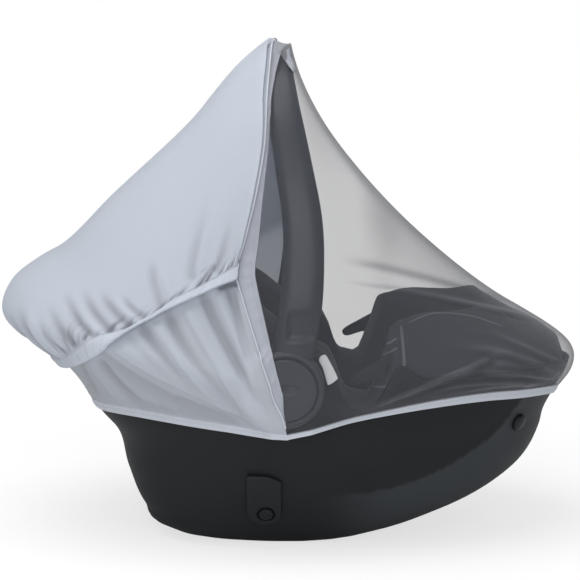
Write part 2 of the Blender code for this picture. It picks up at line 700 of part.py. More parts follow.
# Catch low on the shell's side: its plate lies on the slope there.
CATCH_X, CATCH_WIDTH, CATCH_LENGTH, CATCH_DEPTH = -0.0285, 0.038, 0.070, 0.0050
CATCH_TOP_Z, CATCH_TOP_Y, CATCH_SLOPE = 0.0945, 0.1780, 0.545
KNOB_DOWN, KNOB_RADIUS, RECESS_RADIUS, RECESS_DEPTH = 0.054, 0.0080, 0.0100, 0.0035


def add_studs(materials):
    """Round snap studs on the shell near the foot end."""
    front, half = along(SHELL_SECTIONS, np.array([STUD_HEIGHT]))[0][1:]
    angle = math.acos(STUD_X / front)
    for label, side in (("near", -1), ("far", 1)):
        centre = shell_oval(np.array([side * angle]), np.array([STUD_HEIGHT]), 0.0)[0]
        outwards = (math.cos(angle) / front, side * math.sin(angle) / half, -STUD_DROOP)
        centre = centre + STUD_STAND * np.array(Vector(outwards).normalized())
        add_disc(
            f"snap_stud_{label}",
            centre,
            outwards,
            STUD_RADIUS,
            STUD_DEPTH,
            materials["grey_plastic"],
            STUD_BEVEL,
            sides=20,
        )


def add_catches(materials):
    """A catch plate with a round recess and a knob in it, low on both sides of the shell."""
    half = CATCH_WIDTH / 2
    outline = [(-half, 0.0), (half * 0.3, 0.001), (half, 0.008)]
    turns = np.linspace(0, math.pi, 9)
    outline += [(half * math.cos(t), CATCH_LENGTH - half + half * math.sin(t)) for t in turns]
    down = Vector((0, CATCH_SLOPE, -1)).normalized()
    for label, side in (("near", -1), ("far", 1)):
        start = Vector((CATCH_X, -CATCH_TOP_Y, CATCH_TOP_Z))
        outwards = Vector((0, -1, -CATCH_SLOPE)).normalized()
        mirror = Vector((1, -side, 1))
        back = [start + Vector((x, 0, 0)) + down * w for x, w in outline]
        points = back + [p + outwards * CATCH_DEPTH for p in back]
        points = [p * mirror for p in points]
        count = len(back)
        faces = [tuple(range(count)), tuple(range(count, 2 * count))]
        for j in range(count):
            after = (j + 1) % count
            faces.append((j, after, after + count, j + count))
        plate = add_mesh(f"base_catch_{label}", points, faces, materials["black_plastic"])
        middle = (start + down * KNOB_DOWN + Vector((0.002, 0, 0))) * mirror
        axis = outwards * mirror
        floor = middle + axis * (CATCH_DEPTH - RECESS_DEPTH)
        cutter = add_disc(
            f"catch_recess_{label}",
            floor,
            axis,
            RECESS_RADIUS,
            2 * CATCH_DEPTH,
            materials["black_plastic"],
            0.001,
            sides=20,
        )
        cut = plate.modifiers.new("recess", "BOOLEAN")
        cut.operation = "DIFFERENCE"
        cut.object = cutter
        cutter.hide_render = True
        cutter.display_type = "WIRE"
        add_disc(
            f"catch_knob_{label}",
            floor + axis * GAP,
            axis,
            KNOB_RADIUS,
            RECESS_DEPTH + 0.0005,
            materials["grey_plastic"],
            0.001,
            sides=8,
        )


def add_side_pieces(materials):
    """Belt hooks on both sides and the blank plate on the near side."""
    for label, side in (("near", -1), ("far", 1)):
        inner, outer = side * HOOK_INNER_Y, side * HOOK_OUTER_Y
        add_plate(f"belt_hook_{label}", HOOK_OUTLINE, inner, outer, materials["black_plastic"])
    outer = -PLATE_INNER_Y - PLATE_THICKNESS
    add_plate("side_plate", PLATE_OUTLINE, -PLATE_INNER_Y, outer, materials["pale_plastic"])


EDGE_INSET = 0.003
CLOSE_TO_EDGE = np.array([EDGE_INSET, 0.009, 0.018])
REAR_PLACES = np.concatenate([CLOSE_TO_EDGE, np.linspace(0.034, 0.966, 32), 1 - CLOSE_TO_EDGE[::-1]])
REAR_DOWNS = np.concatenate([np.linspace(0.006, 0.52, 5), np.linspace(0.60, 0.996, 14)])
FOOT_PLACES = np.linspace(EDGE_INSET, 1 - EDGE_INSET, 37)
FOOT_DOWNS = np.concatenate([[0.006, 0.035, 0.08, 0.14], np.linspace(0.21, 0.996, 15)])
FLAP_PLACES = np.linspace(0.040, 0.960, 35)
FLAP_DOWNS = np.linspace(0.0, 1.0, 15)
FLAP_SHEAR = 0.028
UNDER_FLAP_SINK = 0.0028
FLAP_TRIALS, SHORTEST_FLAP = 401, 12
FACING_INSET, MESH_SIDE_INSET = 0.0040, 0.0012


def add_rear_panel(materials):
    """Jersey from the seam to the hem of the head end. Its pleats fade where the flap covers them."""
    grid = head_skirt(REAR_PLACES[:, None], REAR_DOWNS[None, :])
    covered = grid[..., 2] - flap_edge(grid)
    sink = UNDER_FLAP_SINK * smooth_step((covered + 0.004) / 0.020) * smooth_step((REAR_DOWNS - 0.3) / 0.2)
    grid = grid - normals(grid) * sink[..., None]
    outside, inside = creased(grid, REAR_FOLDS, CLOTH, smooth_step((0.006 - covered) / 0.022))
    add_sheet("rear_panel", outside, inside, materials["jersey"])


def flap_edge(points):
    """Height of the flap's lower edge at these points."""
    drop = FAR_FLAP_DROP * smooth_step(points[..., 1] / 0.1)
    return along(FLAP_EDGE, points[..., 0])[..., 0] - drop


def flap_reach(places):
    """Share of the way to the hem at which the flap ends, for each place round the head end."""
    trial = np.linspace(0, 1, FLAP_TRIALS)
    grid = head_skirt(places[:, None], trial[None, :])
    above = np.cumprod(grid[..., 2] > flap_edge(grid), axis=1)
    return trial[np.maximum(above.sum(axis=1) - 1, SHORTEST_FLAP)]


def add_flap(materials):
    """Second layer of jersey, hinged on the seam and turned back over the head end."""
    starts, share = FLAP_PLACES[:, None], FLAP_DOWNS[None, :]
    ends = starts + FLAP_SHEAR * (2 * starts - 1)
    downs = 0.004 + share * (flap_reach(ends[:, 0])[:, None] - 0.004)
    grid = head_skirt(starts + (ends - starts) * share, downs)
    grid = grid + normals(grid) * FLAP_LIFT
    outside, inside = creased(grid, FLAP_FOLDS, CLOTH)
    add_sheet("sun_flap", outside, inside, materials["jersey"])


def add_mesh_panel(materials):
    """Sheer mesh from its seam to the hem of the foot end, kept whole: its holes are under 1 mm."""
    grid = foot_skirt(FOOT_PLACES[:, None], FOOT_DOWNS[None, :])
    outside, inside = creased(grid, MESH_FOLDS, CLOTH)
    add_sheet("mesh_panel", outside, inside, materials["mesh"])


def add_facing(materials):
    """The pale strip between the fold line and the mesh, over the whole arch."""
    places = np.linspace(0.02, 1.98, 57)
    left = seam_line(SEAM_NEAR, head_skirt, places)
    right = seam_line(MESH_SEAM_NEAR, foot_skirt, places)
    across = right - left
    width = np.linalg.norm(across, axis=-1, keepdims=True)
    inset = np.minimum(FACING_INSET, width / 4)
    left, right = left + across / width * inset, right - across / width * np.minimum(inset, MESH_SIDE_INSET)
    grid = np.stack([left, (left + right) / 2, right], axis=1)
    add_sheet("facing", grid, grid - normals(grid) * CLOTH, materials["pale_trim"])


def add_binding(materials):
    """The elastic band that closes the lower edge all round."""
    sections = []
    for side, heights, band, steps in ((-1, HEAD_HEIGHTS, HEAD_BAND, 44), (1, FOOT_HEIGHTS, FOOT_BAND, 40)):
        places = np.arange(steps) / steps
        places = places if side < 0 else 1 - places
        top = along(heights, places)[..., 1] - GAP
        tall = along(band, places)[..., 0]
        angle = hem_angle(side, places)
        corners = []
        for down, inwards in ((0.0, 0.0), (0.5, -0.0004), (1.0, 0.0)):
            corners.append(over_handle(shell_oval(angle, top - down * tall, HEM_STAND - inwards)))
        inner = [corner.copy() for corner in corners[::-1]]
        for ring in inner:
            flat = np.linalg.norm(ring[:, :2], axis=1, keepdims=True)
            ring[:, :2] *= 1 - BAND_THICKNESS / flat
        sections.append(np.stack(corners + inner, axis=1))
    add_ring("hem_binding", np.concatenate(sections), materials["pale_trim"])


PIPING_RADIUS = 0.0009


def add_piping(materials):
    """Fine corded line on the outside of the fold line, from corner to corner."""
    places = np.linspace(0.015, 1.985, 61)
    line = seam_line(SEAM_NEAR, head_skirt, places)
    tangent = np.gradient(line, axis=0)
    tangent /= np.linalg.norm(tangent, axis=1, keepdims=True)
    outwards = np.cross(tangent, np.array([1.0, 0.0, 0.0]))
    outwards *= np.sign(np.sum(outwards * (line - np.array([0.0, 0.0, 0.25])), axis=1))[:, None]
    outwards /= np.linalg.norm(outwards, axis=1, keepdims=True)
    sideways = np.cross(tangent, outwards)
    centre = line + outwards * (PIPING_RADIUS + CLOTH)
    turns = np.arange(5) * 2 * math.pi / 5
    rings = [centre + PIPING_RADIUS * (math.cos(t) * outwards + math.sin(t) * sideways) for t in turns]
    add_ring("piping", np.stack(rings, axis=1), materials["pale_trim"], closed=False)


def tidy_scene():
    for thing in list(bpy.data.objects):
        bpy.data.objects.remove(thing, do_unlink=True)


def main():
    tidy_scene()
    materials = {name: make_material(name) for name in COLOURS}
    add_shell(materials)
    add_liner(materials)
    add_handle(materials)
    add_side_pieces(materials)
    add_studs(materials)
    add_catches(materials)
    add_rear_panel(materials)
    add_flap(materials)
    add_mesh_panel(materials)
    add_facing(materials)
    add_binding(materials)
    add_piping(materials)


main()
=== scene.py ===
"""Looks of the stretch mesh cover on its infant car seat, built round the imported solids."""

import math

import bmesh
import bpy
import numpy as np
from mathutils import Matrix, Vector
from mathutils.bvhtree import BVHTree


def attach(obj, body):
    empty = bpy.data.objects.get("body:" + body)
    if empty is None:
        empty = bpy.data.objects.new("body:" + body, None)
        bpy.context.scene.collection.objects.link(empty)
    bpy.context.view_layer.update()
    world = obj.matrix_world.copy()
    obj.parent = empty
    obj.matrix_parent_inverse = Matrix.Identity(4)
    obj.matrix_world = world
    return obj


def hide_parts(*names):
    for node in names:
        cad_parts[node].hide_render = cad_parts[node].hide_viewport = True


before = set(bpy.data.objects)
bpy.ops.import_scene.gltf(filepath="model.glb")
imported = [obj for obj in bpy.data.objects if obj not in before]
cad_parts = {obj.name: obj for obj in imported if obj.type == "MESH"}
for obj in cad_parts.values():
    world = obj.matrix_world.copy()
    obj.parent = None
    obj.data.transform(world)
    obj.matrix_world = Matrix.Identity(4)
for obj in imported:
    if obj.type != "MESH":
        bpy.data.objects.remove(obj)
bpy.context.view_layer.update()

# The cover's surfaces are the solids' own, from the same tables, drawn on finer grids.

CLOTH = 0.0012
GAP = 0.0004
FLAP_LIFT = 0.0052
SHELL_WALL = 0.004
CAP_STAND = 0.0025
HEM_STAND = 0.0033
BAND_THICKNESS = 0.002

HUB_X, HUB_Z = -0.005, 0.1945
HUB_INNER_Y, HUB_OUTER_Y = 0.1988, 0.216
HUB_RADIUS, CAP_RADIUS = 0.0425, 0.0335

HEAD_NOSE_X, FOOT_NOSE_X = -0.33, 0.335
HEAD_MIDDLE_X, FOOT_MIDDLE_X = -0.02, -0.008
COVER_HALF_WIDTH = 0.2225
HEAD_SQUARENESS, FOOT_SQUARENESS = 2.2, 2.0

# Outside of the shell: height, rear end, front end, half width. It is squarer near the floor.
SHELL_SQUARENESS, SHELL_SQUARER, SHELL_SQUARER_BELOW = 2.0, 1.2, 0.14
SHELL_SECTIONS = [
    (0.0, -0.085, 0.05, 0.1),
    (0.004, -0.125, 0.082, 0.112),
    (0.012, -0.152, 0.118, 0.124),
    (0.035, -0.171, 0.186, 0.143),
    (0.0765, -0.19, 0.261, 0.168),
    (0.122, -0.206, 0.2935, 0.19),
    (0.14, -0.223, 0.298, 0.198),
    (0.165, -0.236, 0.311, 0.198),
    (0.19, -0.2485, 0.325, 0.197),
    (0.235, -0.297, 0.327, 0.194),
    (0.262, -0.31, 0.327, 0.19),
]

# Seat side seen from the near side: distance along the seat, top of the padded wall.
WALL_TOP = [
    (-0.32, 0.268),
    (-0.2, 0.284),
    (-0.1, 0.29),
    (-0.045, 0.282),
    (-0.011, 0.259),
    (0.03, 0.236),
    (0.048, 0.222),
    (0.058, 0.193),
    (0.077, 0.181),
    (0.096, 0.184),
    (0.106, 0.205),
    (0.122, 0.238),
    (0.158, 0.257),
    (0.203, 0.262),
    (0.24, 0.256),
    (0.28, 0.236),
    (0.32, 0.217),
]

# Centre line of the handle on the near side: place along it, x, y, z, width, thickness.
HANDLE_PATH = [
    (0.0, 0.002, -0.2065, 0.23, 0.046, 0.018),
    (0.1, 0.0105, -0.206, 0.277, 0.046, 0.018),
    (0.22, 0.0145, -0.1995, 0.33, 0.044, 0.018),
    (0.32, 0.0135, -0.192, 0.37, 0.043, 0.0185),
    (0.46, 0.004, -0.175, 0.43, 0.04, 0.02),
    (0.61, -0.007, -0.149, 0.49, 0.036, 0.021),
    (0.72, -0.0115, -0.1205, 0.5265, 0.031, 0.0215),
    (0.8, -0.013, -0.0915, 0.542, 0.029, 0.0215),
    (0.9, -0.0135, -0.045, 0.5475, 0.028, 0.0215),
    (1.0, -0.0135, 0.0, 0.548, 0.028, 0.0215),
]
HANDLE_CLEARANCE, HUB_CLEARANCE = 0.005, 0.0028
# How fast the cloth comes in again beside the arm, low and high, then further off, and beside the hub.
SHOULDER_SLOPE, HIGH_SLOPE, FAR_SLOPE, HUB_SLOPE = 0.55, 1.4, 3.0, 1.6
SHOULDER_REACH, LOW_ARM_TOP, HIGH_BLEND = 0.065, 0.4, 0.1
SHOULDER_SOFTNESS = 0.003
# Nearer the middle plane than this the cloth passes over the grip and needs less push.
OVER_GRIP_WIDTH = 0.06

# Fold line of the flap and piping, near side: place, x, y, z.
SEAM_NEAR = [
    (0.0, -0.003, -0.205, 0.143),
    (0.08, -0.0128, -0.2175, 0.1737),
    (0.18, -0.0266, -0.219, 0.2171),
    (0.3, -0.0426, -0.206, 0.2689),
    (0.4, -0.0582, -0.183, 0.3131),
    (0.48, -0.0484, -0.183, 0.352),
    (0.57, -0.0376, -0.181, 0.3948),
    (0.68, -0.0281, -0.174, 0.4465),
    (0.83, -0.024, -0.148, 0.515),
    (0.91, -0.02, -0.11, 0.5575),
    (0.96, -0.0185, -0.05, 0.5662),
    (1.0, -0.019, 0.0, 0.5665),
]

# Seam of the mesh on the near side. Between it and the fold line lies the pale facing.
MESH_SEAM_NEAR = [
    (0.0, 0.0005, -0.2052, 0.143),
    (0.08, -0.0085, -0.2182, 0.1737),
    (0.18, -0.0185, -0.2202, 0.2171),
    (0.3, -0.029, -0.213, 0.2646),
    (0.4, -0.0375, -0.193, 0.316),
    (0.48, -0.0337, -0.189, 0.352),
    (0.57, -0.0296, -0.186, 0.3948),
    (0.68, -0.024, -0.176, 0.4465),
    (0.83, -0.0185, -0.148, 0.516),
    (0.91, -0.0085, -0.109, 0.556),
    (0.96, -0.001, -0.05, 0.5635),
    (1.0, 0.0, 0.0, 0.564),
]
# How far the same two seams lie towards the foot end on the far side, where the cover is less pulled back.
FAR_SEAM_SHIFT = [(0.0, 0.0), (0.2, 0.02), (0.4, 0.053), (0.6, 0.036), (0.8, 0.012), (1.0, 0.0)]
KINK = 0.4
KINK_LEAD, KINK_SPREAD = 0.035, 0.014

# Side profiles of the cover from the seam over the nose to the hem: place, how far out, how high,
# then below the widest line how far back in and how far down.
HEAD_PROFILE = [
    (0.0, 0.0, 1.0, 0.0, 0.0),
    (0.08, 0.092, 0.923, 0.0, 0.0),
    (0.3, 0.304, 0.681, 0.0, 0.0),
    (0.54, 0.588, 0.413, 0.0, 0.0),
    (0.72, 0.789, 0.216, 0.0, 0.0),
    (0.8, 0.88, 0.163, 0.0, 0.0),
    (0.87, 0.965, 0.095, 0.0, 0.0),
    (0.94, 1.0, 0.0, 0.0, 0.0),
    (1.0, 1.0, 0.0, 0.15, 0.195),
    (1.06, 1.0, 0.0, 0.4, 0.375),
    (1.11, 1.0, 0.0, 0.62, 0.53),
    (1.16, 1.0, 0.0, 0.79, 0.7),
    (1.21, 1.0, 0.0, 0.925, 0.865),
    (1.25, 1.0, 0.0, 1.0, 1.0),
]
FOOT_PROFILE = [
    (0.0, 0.0, 1.0, 0.0, 0.0),
    (0.07, 0.03, 0.905, 0.0, 0.0),
    (0.16, 0.092, 0.783, 0.0, 0.0),
    (0.32, 0.235, 0.596, 0.0, 0.0),
    (0.55, 0.488, 0.358, 0.0, 0.0),
    (0.76, 0.744, 0.176, 0.0, 0.0),
    (0.88, 0.899, 0.093, 0.0, 0.0),
    (0.94, 0.968, 0.048, 0.0, 0.0),
    (1.0, 1.0, 0.0, 0.0, 0.0),
    (1.06, 1.0, 0.0, 0.17, 0.47),
    (1.11, 1.0, 0.0, 0.57, 0.77),
    (1.15, 1.0, 0.0, 1.0, 1.0),
]
# How much of that hollow line each side has, from the near seam round the nose to the far seam.
HOLLOWNESS = [(0.0, 0.15), (0.15, 0.6), (0.35, 0.95), (0.5, 1.0), (0.65, 0.95), (0.85, 0.6), (1.0, 0.15)]

# Heights round the head end and the foot end, near seam to far seam: widest line, hem.
HEAD_HEIGHTS = [
    (0.0, 0.195, 0.1465),
    (0.1, 0.225, 0.1535),
    (0.25, 0.245, 0.16),
    (0.4, 0.256, 0.1555),
    (0.5, 0.26, 0.1515),
    (0.6, 0.258, 0.155),
    (0.75, 0.247, 0.161),
    (0.9, 0.225, 0.154),
    (1.0, 0.195, 0.1465),
]
FOOT_HEIGHTS = [
    (0.0, 0.19, 0.1465),
    (0.1, 0.198, 0.1655),
    (0.16, 0.201, 0.1745),
    (0.24, 0.205, 0.1792),
    (0.3, 0.207, 0.1775),
    (0.38, 0.208, 0.174),
    (0.45, 0.207, 0.1685),
    (0.5, 0.205, 0.162),
    (0.58, 0.207, 0.172),
    (0.75, 0.206, 0.176),
    (0.9, 0.198, 0.164),
    (1.0, 0.19, 0.1465),
]
# Height of the elastic band under each end's hem, near seam to far seam.
HEAD_BAND = [(0.0, 0.005), (0.06, 0.0072), (0.2, 0.0086), (0.35, 0.0092), (0.7, 0.0086), (1.0, 0.005)]
FOOT_BAND = [
    (0.0, 0.0048),
    (0.1, 0.005),
    (0.16, 0.0072),
    (0.24, 0.0086),
    (0.38, 0.009),
    (0.5, 0.0085),
    (0.65, 0.0075),
    (0.9, 0.0055),
    (1.0, 0.005),
]

# Lower edge of the flap in side view: x, height. The far side hangs a little lower.
FLAP_EDGE = [
    (-0.33, 0.188),
    (-0.27, 0.195),
    (-0.25, 0.204),
    (-0.224, 0.22),
    (-0.188, 0.24),
    (-0.135, 0.272),
    (-0.092, 0.295),
    (-0.064, 0.309),
    (0.0, 0.34),
]
FAR_FLAP_DROP = 0.006


def along(rows, places):
    """Columns of a table at these places in its first column, on a smooth curve through its rows."""
    rows = np.asarray(rows, float)
    key, values = rows[:, 0], rows[:, 1:]
    slope = np.gradient(values, key, axis=0)
    places = np.clip(np.asarray(places, float), key[0], key[-1])
    low = np.clip(np.searchsorted(key, places, side="right") - 1, 0, len(key) - 2)
    step = (key[low + 1] - key[low])[..., None]
    u = (places - key[low])[..., None] / step
    start = (1 + 2 * u) * (1 - u) ** 2 * values[low] + u * (1 - u) ** 2 * step * slope[low]
    end = u * u * (3 - 2 * u) * values[low + 1] + u * u * (u - 1) * step * slope[low + 1]
    return start + end


def smooth_step(value):
    value = np.clip(value, 0.0, 1.0)
    return value * value * (3 - 2 * value)


def power(value, exponent):
    """Signed power, which turns a circle's sine and cosine into a squarer oval's."""
    return np.sign(value) * np.abs(value) ** exponent


def shell_oval(angle, height, outwards=0.0):
    """Points on the shell's outside at these angles from +X and heights, moved outwards in plan."""
    rear, front, half = np.moveaxis(along(SHELL_SECTIONS, height), -1, 0)
    squareness = SHELL_SQUARENESS + SHELL_SQUARER * smooth_step(1 - np.asarray(height) / SHELL_SQUARER_BELOW)
    turn = 2 / squareness
    reach = np.where(np.cos(angle) > 0, front, -rear) + outwards
    x = reach * power(np.cos(angle), turn)
    y = (half + outwards) * power(np.sin(angle), turn)
    return np.stack([x, y, np.broadcast_to(height, x.shape)], axis=-1)


def arch(near_rows, places):
    """A seam over the handle, from the near corner at 0 over the top at 1 to the far corner at 2."""
    places = np.asarray(places, float)
    folded = 1 - np.abs(places - 1)
    points = along(near_rows, folded)
    far = places > 1
    points[..., 1] = np.where(far, -points[..., 1], points[..., 1])
    points[..., 0] += np.where(far, along(FAR_SEAM_SHIFT, folded)[..., 0], 0.0)
    return points


def handle_reach(points):
    """How far out from the middle plane the cloth must be here to clear the handle and its hub."""
    x, z = points[..., 0], points[..., 2]
    path = np.array(HANDLE_PATH)
    tangent = np.gradient(path[:, 2:4], axis=0)
    tangent /= np.linalg.norm(tangent, axis=1, keepdims=True)
    stand = path[:, 5] / 2 + HANDLE_CLEARANCE
    outer_y = -path[:, 2] + tangent[:, 1] * stand
    outer_z = path[:, 3] + tangent[:, 0] * stand
    centre_x = np.interp(z, outer_z, path[:, 1])
    beside = np.maximum(np.abs(x - centre_x) - 0.46 * np.interp(z, outer_z, path[:, 4]), 0.0)
    slope = SHOULDER_SLOPE + (HIGH_SLOPE - SHOULDER_SLOPE) * smooth_step((z - LOW_ARM_TOP) / HIGH_BLEND)
    arm = np.interp(z, outer_z, outer_y) - slope * beside
    arm -= FAR_SLOPE * np.maximum(beside - SHOULDER_REACH, 0.0)
    arm = arm * (1 - smooth_step((z - outer_z[-2]) / 0.002))
    from_hub = np.hypot(x - HUB_X, z - HUB_Z)
    hub = HUB_OUTER_Y + CAP_STAND + CLOTH + HUB_CLEARANCE - HUB_SLOPE * np.maximum(from_hub - HUB_RADIUS, 0.0)
    return np.maximum(arm, hub)


def over_handle(points):
    """Cloth pushed out sideways where it would cut the handle, with a soft shoulder on both sides."""
    y = points[..., 1]
    reach = handle_reach(points)
    out = 0.5 * (np.abs(y) + reach + np.sqrt((np.abs(y) - reach) ** 2 + SHOULDER_SOFTNESS**2))
    side = np.where(y < 0, -1.0, 1.0)
    blend = smooth_step(np.abs(y) / OVER_GRIP_WIDTH)
    return np.stack(
        [points[..., 0], side * (np.abs(y) + (out - np.abs(y)) * blend), points[..., 2]], axis=-1
    )


def hem_angle(side, places):
    """Angle round the shell of a place on the hem: side is -1 at the head end and 1 at the foot end."""
    near_corner = -math.pi / 2 - 0.012
    return near_corner + side * places * (math.pi + side * 0.024)


def kink_lead(places):
    """How far the lower cloth runs ahead round the head end, to leave the kinked seam without a fold."""
    rise = (1 - np.exp(-places / KINK_SPREAD)) * (1 - np.exp(-(1 - places) / KINK_SPREAD))
    return KINK_LEAD * rise * (1 - 2 * places)


def skirt(places, downs, seam, profile, heights, nose_x, squareness):
    """The cover's outside on one end. places run from the near seam round the nose to the far seam at 1,
    downs from the seam at 0 to the hem at 1."""
    places, downs = np.broadcast_arrays(places, downs)
    start, reach = profile[0][0], profile[-1][0]
    out, up, back, down = np.moveaxis(along(profile, start + downs * (reach - start)), -1, 0)
    hollow = along(HOLLOWNESS, places)[..., 0]
    up = (1 - out) + (up - (1 - out)) * hollow
    top = arch(seam, KINK + places * (2 - 2 * KINK))
    turn = 2 / squareness
    side = np.sign(nose_x)
    if side < 0:
        places = places + kink_lead(places)
    widest_z, hem_z = np.moveaxis(along(heights, places), -1, 0)
    middle_x = HEAD_MIDDLE_X if side < 0 else FOOT_MIDDLE_X
    middle = np.stack(
        [
            middle_x + (nose_x - middle_x) * power(np.sin(math.pi * places), turn),
            -COVER_HALF_WIDTH * power(np.cos(math.pi * places), turn),
            widest_z,
        ],
        axis=-1,
    )
    hem = shell_oval(hem_angle(side, places), hem_z, HEM_STAND)
    points = middle + (top - middle) * np.stack([1 - out, 1 - out, up], axis=-1)
    points += (hem - middle) * np.stack([back, back, down], axis=-1)
    return over_handle(points)


def head_skirt(places, downs):
    return skirt(
        places, downs, SEAM_NEAR, HEAD_PROFILE, HEAD_HEIGHTS, HEAD_NOSE_X, HEAD_SQUARENESS
    )


def foot_skirt(places, downs):
    return skirt(
        places, downs, MESH_SEAM_NEAR, FOOT_PROFILE, FOOT_HEIGHTS, FOOT_NOSE_X, FOOT_SQUARENESS
    )


def seam_line(rows, skirt_of_it, places):
    """A seam with its lower ends on the edges of the panel that it joins."""
    points = over_handle(arch(rows, places))
    folded = 1 - np.abs(places - 1)
    low = folded < KINK
    on_panel = skirt_of_it(np.where(places > 1, 1.0, 0.0)[low], 1 - folded[low] / KINK)
    points[low] = on_panel
    return points


def normals(grid):
    """Unit normals of a grid of points, which face away from the seat."""
    across = np.gradient(grid, axis=0)
    along_it = np.gradient(grid, axis=1)
    found = np.cross(across, along_it)
    found /= np.maximum(np.linalg.norm(found, axis=-1, keepdims=True), 1e-9)
    inside = np.array([0.0, 0.0, 0.2])
    facing = np.sum(found * (grid - inside), axis=-1).sum()
    return found if facing > 0 else -found


SHELL_RIM_DROP = 0.012
SHELL_RIM_LOW, SHELL_RIM_HIGH = 0.168, 0.262
PAD_GAP = SHELL_WALL + 0.0019
PAD_LEAN = 0.62
SEAT_FLOOR = [
    (-0.3, 0.205),
    (-0.2, 0.15),
    (-0.08, 0.095),
    (0.04, 0.08),
    (0.12, 0.095),
    (0.2, 0.13),
    (0.3, 0.165),
]
CAVITY_HALF_WIDTH = 0.118
CAVITY_HEAD, CAVITY_FOOT = 0.262, 0.275


def wall_top(x):
    return along(WALL_TOP, x)[..., 0]


def rim_height(angle):
    """Height of the shell's rim at each angle, a little under the padding's top and lower round the foot."""
    x = shell_oval(angle, np.full_like(angle, 0.2))[..., 0]
    low = np.clip(wall_top(x) - SHELL_RIM_DROP, SHELL_RIM_LOW, SHELL_RIM_HIGH)
    return low + (0.2 - low) * smooth_step((x - 0.1) / 0.05)


# Belt hook, a beak over the notch in the seat's side, in side view.
HOOK_OUTLINE = [
    (0.067, 0.199),
    (0.069, 0.205),
    (0.086, 0.215),
    (0.11, 0.227),
    (0.1055, 0.216),
    (0.1015, 0.203),
    (0.09, 0.201),
    (0.073, 0.196),
]
HOOK_INNER_Y, HOOK_OUTER_Y = 0.1771, 0.1826
# Blank pale plate beside the hub on the near side, in side view.
PLATE_OUTLINE = [
    (0.031, 0.224),
    (0.033, 0.2285),
    (0.0365, 0.23),
    (0.04, 0.2275),
    (0.0505, 0.207),
    (0.0495, 0.2025),
    (0.0415, 0.1975),
    (0.0395, 0.201),
    (0.035, 0.216),
]
PLATE_INNER_Y, PLATE_THICKNESS = 0.1955, 0.003
STUD_X, STUD_HEIGHT, STUD_RADIUS, STUD_DEPTH = 0.257, 0.1385, 0.01, 0.005
STUD_DROOP, STUD_STAND = 1.6, 0.0016
# Catch low on the shell's side: its plate lies on the slope there.
CATCH_X, CATCH_WIDTH, CATCH_LENGTH, CATCH_DEPTH = -0.0285, 0.038, 0.07, 0.005
CATCH_TOP_Z, CATCH_TOP_Y, CATCH_SLOPE = 0.0945, 0.178, 0.545
KNOB_DOWN, KNOB_RADIUS, RECESS_RADIUS, RECESS_DEPTH = 0.054, 0.008, 0.01, 0.0035


# Folds in side view: side, start, middle and end as x and z, width, height, lean. A fold that leans
# falls away quickly below its line and slowly above it.
REAR_PLEATS = [
    ("near", -0.204, 0.249, -0.123, 0.201, 0.002, 0.144, 0.0105, 0.005, 0.78),
    ("near", -0.204, 0.229, -0.138, 0.184, -0.05, 0.153, 0.0075, -0.0026, -0.3),
    ("near", -0.206, 0.214, -0.187, 0.186, -0.154, 0.158, 0.0048, -0.0042, 0.0),
    ("near", -0.234, 0.213, -0.228, 0.184, -0.216, 0.166, 0.005, -0.0024, 0.0),
    ("near", -0.22, 0.216, -0.208, 0.19, -0.19, 0.166, 0.0055, 0.0022, 0.0),
    ("near", -0.176, 0.253, -0.152, 0.226, -0.118, 0.2, 0.0055, -0.0028, 0.2),
    ("near", -0.159, 0.262, -0.139, 0.232, -0.092, 0.182, 0.0062, -0.0046, 0.2),
    ("near", -0.146, 0.264, -0.119, 0.23, -0.07, 0.178, 0.0075, 0.004, 0.4),
    ("near", -0.131, 0.274, -0.103, 0.224, -0.038, 0.152, 0.0062, -0.005, 0.2),
    ("near", -0.112, 0.284, -0.082, 0.23, -0.034, 0.16, 0.0075, 0.0046, 0.4),
    ("near", -0.093, 0.295, -0.07, 0.246, -0.024, 0.168, 0.0058, -0.005, 0.2),
    ("near", -0.079, 0.3, -0.056, 0.244, -0.02, 0.166, 0.0058, 0.0036, 0.3),
    ("near", -0.066, 0.306, -0.044, 0.236, -0.016, 0.152, 0.005, -0.004, 0.1),
    ("near", -0.054, 0.296, -0.036, 0.232, -0.012, 0.162, 0.0045, 0.0024, 0.0),
    ("near", -0.12, 0.176, -0.086, 0.165, -0.05, 0.153, 0.005, -0.0026, 0.0),
    ("near", -0.076, 0.3015, -0.065, 0.3055, -0.054, 0.3095, 0.0036, -0.007, 0.0),
    ("near", -0.16, 0.168, -0.126, 0.16, -0.09, 0.154, 0.005, -0.0022, 0.0),
    ("far", -0.215, 0.222, -0.13, 0.184, -0.012, 0.15, 0.009, 0.006, 0.6),
    ("far", -0.205, 0.206, -0.13, 0.172, -0.05, 0.154, 0.008, -0.004, -0.2),
    ("far", -0.18, 0.24, -0.11, 0.205, -0.03, 0.16, 0.0075, -0.004, 0.2),
    ("far", -0.14, 0.262, -0.096, 0.214, -0.03, 0.158, 0.007, 0.0036, 0.3),
    ("far", -0.11, 0.284, -0.08, 0.22, -0.025, 0.16, 0.007, 0.0036, 0.2),
    ("far", -0.084, 0.29, -0.058, 0.226, -0.018, 0.16, 0.0055, -0.0036, 0.2),
]
